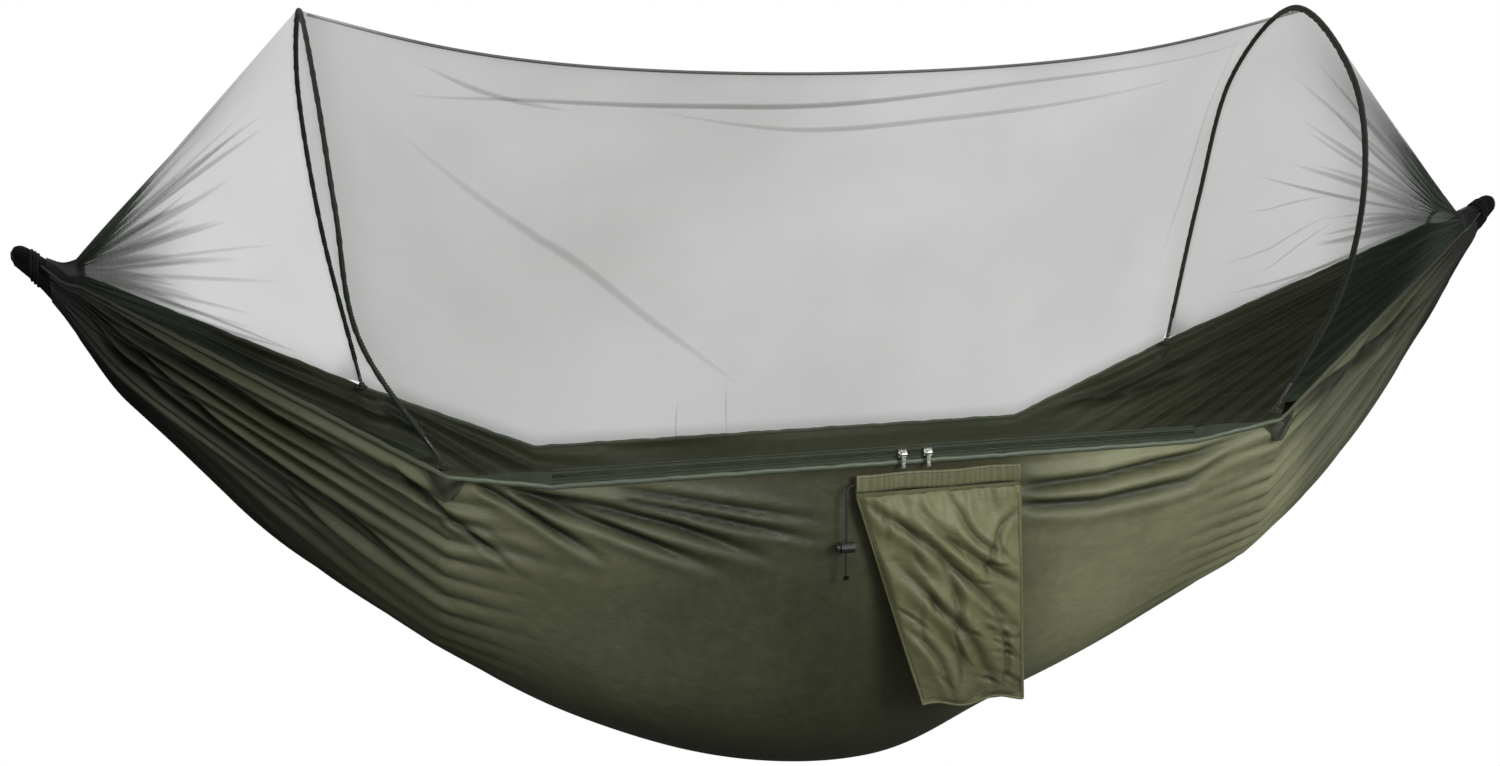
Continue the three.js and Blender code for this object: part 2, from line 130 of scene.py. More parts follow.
def spline(points, per_span=24):
    """A smooth curve through the points, densely sampled."""
    p = np.asarray(points, float)
    p = np.vstack([2 * p[0] - p[1], p, 2 * p[-1] - p[-2]])
    found = []
    for p0, p1, p2, p3 in zip(p, p[1:], p[2:], p[3:]):
        d0, d1, d2 = (max(np.linalg.norm(b - a) ** 0.5, 1e-4)
                      for a, b in ((p0, p1), (p1, p2), (p2, p3)))
        m1 = ((p1 - p0) / d0 - (p2 - p0) / (d0 + d1) + (p2 - p1) / d1) * d1
        m2 = ((p2 - p1) / d1 - (p3 - p1) / (d1 + d2) + (p3 - p2) / d2) * d1
        t = np.linspace(0, 1, per_span, endpoint=False)[:, None]
        found.append((2 * t**3 - 3 * t**2 + 1) * p1 + (t**3 - 2 * t**2 + t) * m1
                     + (3 * t**2 - 2 * t**3) * p2 + (t**3 - t**2) * m2)
    return np.vstack([*found, p[-2:-1]])


def flat_spline(line, per_span):
    """A smooth curve through (u, v) points."""
    return spline(np.column_stack([line, np.zeros(len(line))]), per_span)[:, :2]


def lengths_of(points):
    steps = np.linalg.norm(np.diff(points, axis=0), axis=1)
    return np.concatenate([[0], np.cumsum(steps)])


HOOP_CURVE = spline(HOOP)
HOOP_RUN = lengths_of(HOOP_CURVE)


def hoop_at(side, share):
    """Points of a hoop at these shares of its length, from its back foot."""
    run = np.asarray(share) * HOOP_RUN[-1]
    x, y, z = (np.interp(run, HOOP_RUN, column) for column in HOOP_CURVE.T)
    return stack(side * x, y, z)


# ---- helpers: meshes ----

class Build:
    """Collects parts of one piece, with how cloth runs (metres), a painted shade and a gather
    value.
    """

    def __init__(self):
        self.points, self.faces, self.cloth, self.shade, self.gather = [], [], [], [], []
        self.slots, self.count = [], 0

    def add(self, points, faces, cloth=None, shade=1.0, gather=0.0, material=0):
        points = np.asarray(points, float).reshape(-1, 3)
        self.points.append(points)
        self.cloth.append(points if cloth is None else np.asarray(cloth, float).reshape(-1, 3))
        self.faces += [tuple(int(k) + self.count for k in face) for face in faces]
        self.slots += [material] * len(faces)
        for kept, value in ((self.shade, shade), (self.gather, gather)):
            kept.append(np.broadcast_to(np.ravel(value), (len(points),)))
        self.count += len(points)

    def grid(self, points, cloth=None, shade=1.0, gather=0.0, closed=False, turned=False, **more):
        """A sheet of points in rows and columns. When closed, its last column joins its first."""
        rows, columns = points.shape[:2]
        i, j = np.meshgrid(np.arange(rows - 1), np.arange(columns - (not closed)), indexing="ij")
        next_j = (j + 1) % columns
        faces = np.stack([i * columns + j, (i + 1) * columns + j,
                          (i + 1) * columns + next_j, i * columns + next_j], -1).reshape(-1, 4)
        if turned:
            faces = faces[:, ::-1]
        shade, gather = (np.broadcast_to(value, (rows, columns)) for value in (shade, gather))
        self.add(points, faces, cloth, shade, gather, **more)

    def tube(self, path, radius, sides=12, flat=1.0, up=(0, 0, 1), shade=1.0, gather=0.0,
             material=0, caps=True):
        """A tube along path. flat scales its thickness along the side nearest to up."""
        path, hint = np.asarray(path, float), np.asarray(up, float)
        count = len(path)
        radius = np.broadcast_to(np.asarray(radius, float), (count,))
        ahead = unit(np.gradient(path, axis=0))
        normal = np.empty_like(path)
        normal[0] = unit(hint - ahead[0] * (hint @ ahead[0]))
        for k in range(1, count):
            normal[k] = unit(normal[k - 1] - ahead[k] * (normal[k - 1] @ ahead[k]))
        across = np.cross(ahead, normal)
        turn = TAU * np.arange(sides) / sides
        ring = (np.cos(turn)[None, :, None] * across[:, None]
                + np.sin(turn)[None, :, None] * normal[:, None] * flat)
        points = path[:, None] + ring * radius[:, None, None]
        cloth = stack(lengths_of(path)[:, None], radius[:, None] * turn, 0.0)
        shade, gather = (np.broadcast_to(value, (count,))[:, None] for value in (shade, gather))
        start = self.count
        self.grid(points, cloth, shade, gather, closed=True, turned=True, material=material)
        if caps:
            self.faces += [tuple(range(start, start + sides)),
                           tuple(reversed(range(self.count - sides, self.count)))]
            self.slots += [material] * 2

    def stitches(self, path, pitch=0.0042, length=0.0026, radius=0.00045, out=(0, -1, 0)):
        """A row of sewn stitches: short threads that dip at both ends."""
        run = lengths_of(path)
        out = np.broadcast_to(np.asarray(out, float), np.shape(path))
        dips = np.array([-0.7, 0.6, 0.9, 0.6, -0.7]) * radius + 0.0002
        for start in np.arange(pitch / 2, run[-1] - length, pitch):
            at = np.interp(start + length * np.linspace(0, 1, 5), run, np.arange(len(path)))
            index = np.clip(at.astype(int), 0, len(path) - 2)
            where = lerp(path[index], path[index + 1], (at - index)[:, None])
            self.tube(where + out[index] * dips[:, None], radius, sides=5, material=1)

    def finish(self, name, materials, node, body="hammock", smoothed=True):
        """Makes the piece, which rides on a body and stands for a CAD node."""
        mesh = bpy.data.meshes.new(name)
        points = np.vstack(self.points) + np.array([MIDDLE, 0, 0])
        mesh.from_pydata(points.tolist(), [], self.faces)
        for label, kind, key, values in (("cloth", "FLOAT_VECTOR", "vector", self.cloth),
                                         ("shade", "FLOAT", "value", self.shade),
                                         ("gather", "FLOAT", "value", self.gather)):
            data = mesh.attributes.new(label, kind, "POINT").data
            data.foreach_set(key, np.concatenate(values).astype(np.float32).ravel())
        for material in materials:
            mesh.materials.append(material)
        mesh.polygons.foreach_set("material_index", np.array(self.slots, np.int32))
        mesh.polygons.foreach_set("use_smooth", [smoothed] * len(mesh.polygons))
        mesh.update()
        return settle(name, mesh, node, body)


def settle(name, data, node, body="hammock"):
    """The piece rides on a body and stands for a CAD node."""
    piece = bpy.data.objects.new(name, data)
    bpy.context.scene.collection.objects.link(piece)
    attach(piece, body)
    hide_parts(node)
    return piece


# ---- helpers: materials ----

def linear(red, green, blue):
    """A colour given as it looks on a screen, 0 to 255, for a shader."""
    def one(c):
        c /= 255
        return c / 12.92 if c <= 0.04045 else ((c + 0.055) / 1.055) ** 2.4
    return (one(red), one(green), one(blue), 1.0)


class Look:
    """A small wrapper that keeps the node trees of materials, and of the world, readable."""

    def __init__(self, name, owner=None, end="ShaderNodeOutputMaterial"):
        self.owner = owner or bpy.data.materials.new(name)
        self.owner.use_nodes = True
        self.tree = self.owner.node_tree
        self.tree.nodes.clear()
        self.end = self.node(end)

    def node(self, kind, *values, settings=None, **inputs):
        """A new node with these inputs, by place or by name with _ for each space."""
        made = self.tree.nodes.new(kind)
        for key, value in (settings or {}).items():
            setattr(made, key, value)
        for key, value in enumerate(values):
            self.set(made, key, value)
        for key, value in inputs.items():
            self.set(made, key.replace("_", " "), value)
        return made

    def first(self, kind, *values, **more):
        """The first output of a new node."""
        return self.node(kind, *values, **more).outputs[0]

    def set(self, node, key, value):
        if isinstance(value, bpy.types.NodeSocket):
            self.tree.links.new(value, node.inputs[key])
        else:
            node.inputs[key].default_value = value

    def math(self, operation, *values, clamp=False):
        return self.first("ShaderNodeMath", *values,
                          settings={"operation": operation, "use_clamp": clamp})

    def times(self, first, *others):
        for other in others:
            first = self.math("MULTIPLY", first, other)
        return first

    def attribute(self, name, output="Fac"):
        return self.node("ShaderNodeAttribute", settings={"attribute_name": name}).outputs[output]

    def axes(self, vector):
        return self.node("ShaderNodeSeparateXYZ", Vector=vector).outputs

    def noise(self, vector, scale, detail=3.0, roughness=0.5, distortion=0.0):
        return self.first("ShaderNodeTexNoise", Vector=vector, Scale=scale, Detail=detail,
                          Roughness=roughness, Distortion=distortion)

    def stretch(self, vector, scale, **more):
        return self.first("ShaderNodeMapping", Vector=vector, Scale=scale, **more)

    def ramp(self, value, low, high, to_low=0.0, to_high=1.0):
        return self.first("ShaderNodeMapRange", settings={"interpolation_type": "SMOOTHSTEP"},
                          Value=value, From_Min=low, From_Max=high, To_Min=to_low, To_Max=to_high)

    def mix(self, factor, a, b, blend="MIX"):
        made = self.node("ShaderNodeMix", settings={"data_type": "RGBA", "blend_type": blend})
        for place, value in ((0, factor), (6, a), (7, b)):
            self.set(made, place, value)
        return made.outputs[2]

    def darken(self, colour, value):
        grey = self.first("ShaderNodeCombineColor", value, value, value)
        return self.mix(1.0, colour, grey, "MULTIPLY")

    def weave(self, vector, pitch):
        """Height of a plain weave: warp and weft take turns on top."""
        x, y = (self.times(axis, math.pi / pitch) for axis in self.axes(vector)[:2])
        return self.times(self.math("SINE", x), self.math("SINE", y))

    def strands(self, a, b, beat):
        """Height of slanted strands that cross both ways."""
        a, b = self.times(a, beat), self.times(b, beat)
        return self.math("MAXIMUM", *(self.math("SINE", self.math(way, a, b))
                                      for way in ("ADD", "SUBTRACT")))

    def bump(self, height, distance, strength, **normal):
        return self.first("ShaderNodeBump", Height=height, Distance=distance, Strength=strength,
                          **normal)

    def principled(self, colour, roughness, normal, **levels):
        return self.first("ShaderNodeBsdfPrincipled", Base_Color=colour, Roughness=roughness,
                          Normal=normal, **levels)

    def surface(self, shader):
        self.tree.links.new(shader, self.end.inputs["Surface"])
        return self.owner


GRAIN = 0.1


def fabric(name, light, dark, pitch=0.0011, weave=0.35, crinkle=0.35, crinkle_scale=28.0,
           rough=(0.42, 0.6), sheen=0.2, shine=0.35, gathered=None):
    """Coated woven nylon: plain weave, crinkles, colour that wanders with wear, and painted light
    and shade from the shade attribute.
    """
    look = Look(name)
    light, dark = linear(*light), linear(*dark)
    cloth = look.attribute("cloth", "Vector")
    mottle = look.noise(cloth, 46, 4, 0.6)
    threads = look.weave(cloth, pitch)
    slubs = look.noise(look.stretch(cloth, (40, 900, 1)), 1.0, 2)
    tone = look.math("ADD", look.times(look.noise(cloth, 3.2, 4, 0.55), 0.75),
                     look.times(mottle, 0.25))
    colour = look.mix(look.ramp(tone, 0.3, 0.7), dark, light)
    if gathered:
        colour = look.mix(look.attribute("gather"), colour, linear(*gathered))
    detail = look.math("MULTIPLY_ADD", threads, GRAIN * 0.5, 1 - GRAIN * 0.25)
    # Painted light and shade: the shade attribute darkens the colour, and lightens it where it goes
    # above 1.
    detail = look.times(detail, look.ramp(slubs, 0.2, 0.8, 1 - GRAIN, 1 + GRAIN * 0.4),
                        look.attribute("shade"))
    folds = look.noise(look.stretch(cloth, (1, 1.7, 1)), crinkle_scale, 5, 0.55, 0.6)
    normal = look.bump(threads, 0.00012, weave, Normal=look.bump(folds, 0.004, crinkle))
    return look.surface(look.principled(
        look.darken(colour, detail), look.ramp(mottle, 0.3, 0.7, *rough), normal,
        Sheen_Weight=sheen, Sheen_Roughness=0.45, Sheen_Tint=light, Specular_IOR_Level=shine))


def netting(name, light, dark, opacity, gathered=0.9):
    """Fine insect mesh: mostly holes. It closes up where the cloth is gathered, and its colour
    takes painted shade from the shade attribute.
    """
    look = Look(name)
    cloth = look.attribute("cloth", "Vector")
    cells = look.node("ShaderNodeTexVoronoi", settings={"feature": "DISTANCE_TO_EDGE"},
                      Vector=cloth, Scale=620.0, Randomness=0.35).outputs["Distance"]
    threads = look.ramp(cells, 0.02, 0.16, 1.22, 0.82)
    drift = look.ramp(look.noise(cloth, 3.0, 3), 0.3, 0.7, 0.88, 1.12)
    cover = look.times(threads, drift, opacity)
    rest = look.math("SUBTRACT", gathered, cover)
    cover = look.math("MULTIPLY_ADD", rest, look.attribute("gather"), cover, clamp=True)
    streaks = look.noise(look.stretch(cloth, (2, 160, 1)), 1.0, 2)
    tone = look.mix(look.ramp(streaks, 0.3, 0.7), linear(*dark), linear(*light))
    # The shade attribute darkens the mesh here: painted shade.
    solid = look.principled(look.darken(tone, look.attribute("shade")), 0.75,
                            look.bump(cells, 0.0003, 0.3),
                            Sheen_Weight=0.05, Specular_IOR_Level=0.2)
    through = look.first("ShaderNodeBsdfTransparent")
    return look.surface(look.first("ShaderNodeMixShader", cover, through, solid))


def hard(name, light, dark, rough=(0.3, 0.5), metallic=0.0, scale=220.0, coat=0.0, wear=None):
    """Moulded plastic, drawn rod or die-cast metal, with fine grain and worn edges."""
    look = Look(name)
    place = look.node("ShaderNodeTexCoord").outputs["Object"]
    grain = look.noise(place, scale, 4, 0.6)
    colour = look.mix(look.ramp(look.noise(place, scale / 14, 3), 0.3, 0.7),
                      linear(*dark), linear(*light))
    if wear:
        edge = look.node("ShaderNodeNewGeometry").outputs["Pointiness"]
        worn = look.times(look.ramp(edge, 0.51, 0.58), look.ramp(grain, 0.35, 0.65))
        colour = look.mix(worn, colour, linear(*wear))
    return look.surface(look.principled(
        colour, look.ramp(grain, 0.3, 0.7, *rough), look.bump(grain, 0.00015, 0.12),
        Metallic=metallic, Coat_Weight=coat))


def braid(name, light, dark, pitch=0.0022, sheen=0.3):
    """Braided cord: slanted strands crossing both ways."""
    look = Look(name)
    cloth = look.attribute("cloth", "Vector")
    strands = look.strands(*look.axes(cloth)[:2], TAU / pitch)
    return look.surface(look.principled(
        look.mix(look.ramp(strands, -0.4, 0.9), linear(*dark), linear(*light)),
        look.ramp(look.noise(cloth, 1500, 2), 0.3, 0.7, 0.6, 0.8),
        look.bump(strands, 0.0003, 0.7), Sheen_Weight=sheen, Specular_IOR_Level=0.2))


def curve_braid(name, light, dark):
    """Braid for a curve, which has no cloth attribute of its own."""
    look = Look(name)
    axes = look.axes(look.node("ShaderNodeTexCoord").outputs["Object"])
    strands = look.strands(axes[0], axes[2], 2600)
    return look.surface(look.principled(
        look.mix(look.ramp(strands, -0.4, 0.9), linear(*dark), linear(*light)),
        look.ramp(strands, -1, 1, 0.8, 0.6), look.bump(strands, 0.0003, 0.7)))


olive = fabric("body_nylon", (116, 118, 90), (92, 94, 70), sheen=0.08, shine=0.26)
# The hem's lighter green over the zip is partly the binding's own colour and partly a painted
# sheen; away from the zip it takes a darker olive.
rim_green = fabric("hem_nylon", (88, 100, 80), (70, 82, 64), sheen=0.06, rough=(0.32, 0.5),
                   crinkle=0.2, gathered=(70, 73, 54))
dark_end = fabric("end_nylon", (13, 13, 11), (6, 6, 5), sheen=0.0, crinkle=0.5, shine=0.1)
pouch_green = fabric("pouch_nylon", (122, 122, 88), (96, 96, 66), crinkle=0.55, crinkle_scale=24)
flap_green = fabric("corner_nylon", (62, 66, 50), (46, 50, 38), crinkle=0.4)
sleeve_green = netting("sleeve_mesh", (44, 52, 42), (26, 32, 26), 0.9, 0.98)
wall_net = netting("wall_mesh", (54, 55, 40), (40, 42, 30), 0.285)
end_net = netting("end_mesh", (50, 62, 48), (32, 42, 32), 0.225)
tape_green = fabric("zip_tape_weave", (46, 57, 38), (36, 45, 31), pitch=0.0008, weave=0.6,
                    crinkle=0.1, sheen=0.3)
coil_green = hard("coil_nylon", (56, 66, 48), (42, 50, 36), scale=900.0)
silver = hard("slider_metal", (186, 188, 178), (150, 152, 144), (0.24, 0.42), 1.0, 600.0,
              wear=(235, 236, 230))
black = hard("moulded_black", (16, 16, 15), (7, 7, 7), (0.35, 0.55), scale=500.0,
             wear=(50, 50, 47))
rod_black = hard("rod_fibre_black", (30, 31, 28), (12, 13, 12), (0.25, 0.4), scale=300.0, coat=0.3)
spring_wire = hard("spring_wire", (200, 200, 196), (160, 160, 158), (0.2, 0.3), 1.0, 900.0)
thread = braid("sewing_thread", (74, 80, 60), (46, 51, 38), pitch=0.0008)
black_cord = braid("black_braid", (11, 11, 10), (4, 4, 4), sheen=0.0)
cord_black = curve_braid("drawcord_braid", (44, 44, 42), (12, 12, 12))


# ---- camera, light and floor ----

CAMERA_PLACE = (0.173, -2.5, 0.309)
CAMERA_YAW, CAMERA_PITCH = 0.287, 0.198
CAMERA_LENS, CAMERA_SENSOR = 47.54, 36


def make_camera():
    data = bpy.data.cameras.new("view")
    data.lens, data.sensor_width, data.clip_end = CAMERA_LENS, CAMERA_SENSOR, 500
    camera = bpy.data.objects.new("view", data)
    camera.location = CAMERA_PLACE
    camera.rotation_euler = (math.pi / 2 - CAMERA_PITCH, 0, -CAMERA_YAW)
    bpy.context.scene.collection.objects.link(camera)
    bpy.context.scene.camera = camera
    bpy.context.scene.view_settings.view_transform = "Standard"


def area_light(name, place, target, size, power):
    data = bpy.data.lights.new(name, "AREA")
    data.shape, data.size, data.energy = "DISK", size, power
    lamp = bpy.data.objects.new(name, data)
    lamp.location = place
    aim = np.asarray(target, float) - np.asarray(place, float)
    lamp.rotation_euler = (math.acos(-aim[2] / np.linalg.norm(aim)), 0, -math.atan2(aim[0], aim[1]))
    bpy.context.scene.collection.objects.link(lamp)


def make_world():
    """White above the horizon, darker below it."""
    world = bpy.data.worlds.new("studio")
    bpy.context.scene.world = world
    look = Look("studio", world, "ShaderNodeOutputWorld")
    height = look.axes(look.node("ShaderNodeTexCoord").outputs["Generated"])["Z"]
    strength = look.first("ShaderNodeMapRange", Value=height, From_Min=-0.1, From_Max=0.0,
                          To_Min=0.1, To_Max=1.0)
    look.surface(look.first("ShaderNodeBackground", Strength=strength))


FLOOR_DROP, FLOOR_HALF, FLOOR_SQUEEZE = 0.45, 400.0, 0.62


def make_floor():
    """A pale floor. Away from the hammock it is a lit sheet, like the sweep of a photo studio."""
    mesh = bpy.data.meshes.new("floor")
    level = body_low[2] - FLOOR_DROP
    corners = [(MIDDLE + FLOOR_HALF * x, FLOOR_HALF * y, level)
               for x, y in ((-1, -1), (1, -1), (1, 1), (-1, 1))]
    mesh.from_pydata(corners, [], [(0, 1, 2, 3)])
    floor = bpy.data.objects.new("floor", mesh)
    bpy.context.scene.collection.objects.link(floor)
    look = Look("studio_floor")
    place = look.node("ShaderNodeNewGeometry").outputs["Position"]
    away = look.stretch(place, (FLOOR_SQUEEZE, 1, 1), Location=(-FLOOR_SQUEEZE * MIDDLE, 0, -level))
    far = look.node("ShaderNodeVectorMath", away, settings={"operation": "LENGTH"})
    lit = look.ramp(far.outputs["Value"], 0.35, 0.95)
    tint = look.mix(look.ramp(look.noise(place, 60, 3), 0.3, 0.7),
                    (0.3, 0.3, 0.3, 1), (0.32, 0.32, 0.32, 1))
    matt = look.first("ShaderNodeBsdfDiffuse", Color=tint)
    glow = look.first("ShaderNodeEmission", Strength=1.0)
    mesh.materials.append(look.surface(look.first("ShaderNodeMixShader", lit, matt, glow)))
    floor.visible_diffuse = False
    floor.visible_glossy = False


make_camera()
make_world()
make_floor()
area_light("key", (MIDDLE + 1.4, -3.3, 0.9), (MIDDLE + 0.2, 0, -0.3), 1.6, 74)
area_light("fill", (MIDDLE - 2.2, -3.0, 1.6), (MIDDLE, 0, -0.3), 2.2, 5)


# ---- hammock body ----

BODY_END = 0.99
COLUMNS, ROWS = 372, 262
CLOTH_WIDTH, CLOTH_LENGTH = 1.2, 2.4
CREASES, CREASE_DEPTH, CREASE_WIDTH = 30, 0.0075, 0.0085
PLEATS, PLEAT_SWELL = 27, 0.92


def bottom_at(x):
    hang = -SAG * (1 - np.abs(x / HALF_SPAN) ** SAG_POWER) - BUNDLE_DROP
    along = np.clip((x - LIFT_START) / (LIFT_END - LIFT_START), 0, 1)
    return hang + LIFT_HEIGHT * np.sin(math.pi * along) ** 2


def body_grid():
    """The smooth cloth before its folds, its outward normals and the run across from the front.

    The cloth hangs between the two edges as half an ellipse, t from -1 (front) to 1 (back).
    """
    even = np.linspace(-1, 1, COLUMNS)
    x = BODY_END * (0.78 * even + 0.22 * np.sin(even * math.pi / 2))
    t = np.linspace(-1, 1, ROWS)
    column = x[:, None]
    front_y, front_z = look_up(FRONT_EDGE, column)
    back_y, back_z = look_up(BACK_EDGE, column)
    share = (np.sin(math.pi * t / 2) + 1) / 2
    rim = lerp(front_z, back_z, share)
    z = rim + (bottom_at(column) - rim) * np.cos(math.pi * t / 2)
    points = stack(column, lerp(front_y, back_y, share), z)
    normal = unit(np.cross(np.gradient(points, axis=1), np.gradient(points, axis=0)))
    steps = np.linalg.norm(np.diff(points, axis=1), axis=2)
    return x, t, points, normal, np.cumsum(np.pad(steps, ((0, 0), (1, 0))), axis=1)


def crease(x, t, run, line, width, depth, ridge, taper):
    """One fold: a valley with a softer ridge above it, along a line of (x, t) points, and where its
    valley takes painted shade.
    """
    line = np.asarray(line, float)
    line = line[np.argsort(line[:, 0])]
    share = (x - line[0, 0]) / (line[-1, 0] - line[0, 0])
    strength = (smooth(0, taper[0], share) * smooth(0, taper[1], 1 - share))[:, None]
    centre = np.interp(x, line[:, 0], line[:, 1])
    away = run - np.array([np.interp(c, t, row) for c, row in zip(centre, run)])[:, None]
    valley = bell(away, width)
    crest = ridge * bell(np.abs(away) - 1.9 * width, 1.4 * width)
    return strength * (crest - valley) * depth, strength * valley


def body_folds(x, t, run):
    """Fold height along the normals, and the painted shade in each fold's valley."""
    random = np.random.default_rng(7)
    draw = random.uniform
    height, dark = np.zeros_like(run), np.zeros_like(run)
    out = np.abs(x)
    for side in (-1, 1):
        places = np.linspace(-0.985, 0.985, CREASES) + draw(-0.02, 0.02, CREASES)
        for place in places:
            long = random.choice([0.28, 0.4, 0.55, 0.75], p=[0.3, 0.3, 0.25, 0.15])
            reach = BODY_END - long * draw(0.8, 1.15)
            drift = draw(-0.06, 0.06) - 0.05 * place
            steps = np.linspace(1.03, reach, 7)
            wander = place + drift * (1.03 - steps) / 0.6 + draw(-0.006, 0.006, 7)
            size = draw(0.7, 1.25)
            depth = CREASE_DEPTH * size * np.interp(out, [reach, reach + 0.3, 0.9, 1.0],
                                                    [0.35, 1.0, 0.8, 0.35])[:, None]
            up, down = crease(x, t, run, stack(side * steps, wander), CREASE_WIDTH * size, depth,
                              0.6, (0.65, 0.02) if side > 0 else (0.02, 0.65))
            height += up
            dark += down * 0.45 * size
    girth = run[:, -1:]
    share = run / girth
    side = np.sign(x)[:, None]
    wander = (0.9 * np.sin(TAU * 3.1 * share + 2 * side) + 0.7 * np.sin(TAU * 1.3 * share - side)
              + 3.0 * (share - 0.5) * (1 - out[:, None]))
    fold = np.abs(np.sin((TAU * PLEATS * share + wander) / 2))
    uneven = 1.0 + 0.35 * np.sin(TAU * 5.3 * share + 1.7 * side) * np.sin(TAU * 2.2 * share)
    swell = (smooth(0.42, 0.8, out) * lerp(1.0, 0.65, smooth(0.94, 0.99, out)))[:, None]
    height += swell * PLEAT_SWELL * girth / PLEATS * uneven * (fold - 0.64)
    dark += 0.42 * smooth(0.4, 0.8, out)[:, None] * (1 - fold) ** 2
    return height, dark


# Folds pulled from the hoop feet and along the front edge: line of (x, t), width, depth.
DRAG_FOLDS = [
    ([(-0.53, -1.0), (-0.445, -0.92), (-0.345, -0.81)], 0.0065, 0.01),
    ([(-0.5, -1.0), (-0.37, -0.915), (-0.19, -0.8)], 0.0075, 0.013),
    ([(-0.47, -0.99), (-0.27, -0.905), (-0.12, -0.82)], 0.0075, 0.013),
    ([(-0.36, -0.97), (-0.17, -0.9), (-0.06, -0.86)], 0.0055, 0.008),
    ([(-0.36, -0.99), (-0.22, -0.945), (-0.06, -0.9)], 0.005, 0.006),
    ([(-0.95, -0.93), (-0.74, -0.89), (-0.585, -0.91), (-0.44, -0.81)], 0.006, 0.011),
    ([(-0.96, -0.83), (-0.8, -0.69), (-0.64, -0.64), (-0.5, -0.55)], 0.0065, 0.01),
    ([(-0.97, -0.74), (-0.85, -0.6), (-0.735, -0.575), (-0.58, -0.5)], 0.006, 0.009),
    ([(-0.62, -0.95), (-0.54, -0.86), (-0.45, -0.74)], 0.005, 0.006),
    ([(0.17, -0.93), (0.295, -0.93), (0.405, -0.955), (0.56, -0.99)], 0.0075, 0.014),
    ([(0.17, -0.9), (0.295, -0.875), (0.425, -0.885), (0.53, -0.97)], 0.0085, 0.01),
    ([(0.555, -1.0), (0.66, -0.96), (0.8, -0.86), (0.93, -0.8)], 0.006, 0.009),
    ([(0.555, -0.97), (0.7, -0.9), (0.92, -0.7)], 0.007, 0.007),
    ([(0.47, 0.93), (0.62, 0.83), (0.8, 0.76), (0.93, 0.74)], 0.007, 0.008),
    ([(0.42, 0.97), (0.58, 0.9), (0.74, 0.87), (0.93, 0.86)], 0.0065, 0.007),
    ([(-0.6, 0.97), (-0.45, 0.88), (-0.3, 0.82)], 0.007, 0.008),
    ([(-0.58, 0.99), (-0.36, 0.93), (-0.18, 0.89)], 0.007, 0.008),
]


def tucked_in(points, x, t, height):
    """The cloth's ends turn into the shape of the bundles."""
    wide, high, centre = look_up(BUNDLE, x)
    tucked = stack(x, wide * np.sin(RIM_ANGLE * t), centre - high * np.cos(RIM_ANGLE * t))
    outward = unit(tucked - stack(x, 0.0 * t, centre))
    tucked = tucked + outward * (0.5 * height * smooth(1.0, 0.985, np.abs(x)))[..., None]
    return lerp(points, tucked, tuck_share(x)[..., None])


def body_shade(x, t, dark):
    """Painted light and shade over the cloth, as in the photograph: darker in the fold valleys,
    under the belly, on the left, on the inside, on the outer right and towards the gathered ends,
    and lighter on the right; x is a column, t a row.
    """
    belly = smooth(0.62, 0.1, np.abs(t)) * smooth(0.45, 0.05, x)
    left = lerp(0.42, 0.86, bell(x + 0.48, 0.2))
    outside = smooth(0.3, 0.05, t)
    inside_left = smooth(0.45, 0.75, t) * smooth(-0.3, -0.6, x)
    shade = np.clip(1 - dark, 0.22, 1) * lerp(1.0, 0.28, belly)
    shade *= lerp(lerp(1.0, 0.46, 1 - outside), left, smooth(0.3, 0.06, x) * outside)
    shade *= lerp(1.0, 1.35, smooth(0.1, 0.3, x) * outside)
    shade *= lerp(1.0, 0.47, smooth(0.58, 0.66, x) * outside)
    return shade * lerp(1.0, 0.4, inside_left) * lerp(1.0, 0.12, smooth(0.84, 0.985, np.abs(x)))


def make_body():
    x, t, points, normal, run = body_grid()
    height, dark = body_folds(x, t, run)
    # Drag folds, with painted shade in their valleys.
    for line, width, depth in DRAG_FOLDS:
        up, down = crease(x, t, run, line, width, depth, 0.5, (0.12, 0.45))
        height += up
        dark += down * 0.8
    x = x[:, None]
    draw = np.random.default_rng(3).uniform
    for _ in range(9):
        turn, wave, phase = draw(-0.5, 0.5), draw(2.2, 6.0), draw(0, TAU)
        height += 0.0016 * np.sin(wave * TAU * (run * math.cos(turn) + x * math.sin(turn)) + phase)
    from_rim = np.minimum(run, run[:, -1:] - run)
    height *= smooth(0.0, 0.012, from_rim) * lerp(1.0, 0.5, smooth(0.9, 0.97, np.abs(x)))
    points = tucked_in(points + normal * height[..., None], x, t, height)
    cloth = stack(x / BODY_END * CLOTH_LENGTH / 2, t / 2 * CLOTH_WIDTH, 0.0)
    build = Build()
    build.grid(points, cloth, body_shade(x, t, dark))
    return build.finish("body_cloth", [olive], "hammock_body")


def tuck_share(x):
    """How far the cloth's shape has turned into the bundle's."""
    return smooth(0.952, 0.984, np.abs(x))


def rim_at(edge, x):
    """An edge of the mouth, drawn in onto the bundle near the hanging point."""
    y, z = look_up(edge, x)
    wide, high, centre = look_up(BUNDLE, x)
    side = -1 if edge is FRONT_EDGE else 1
    share = tuck_share(x)
    return (lerp(y, side * wide * math.sin(RIM_ANGLE), share),
            lerp(z, centre - high * math.cos(RIM_ANGLE), share))


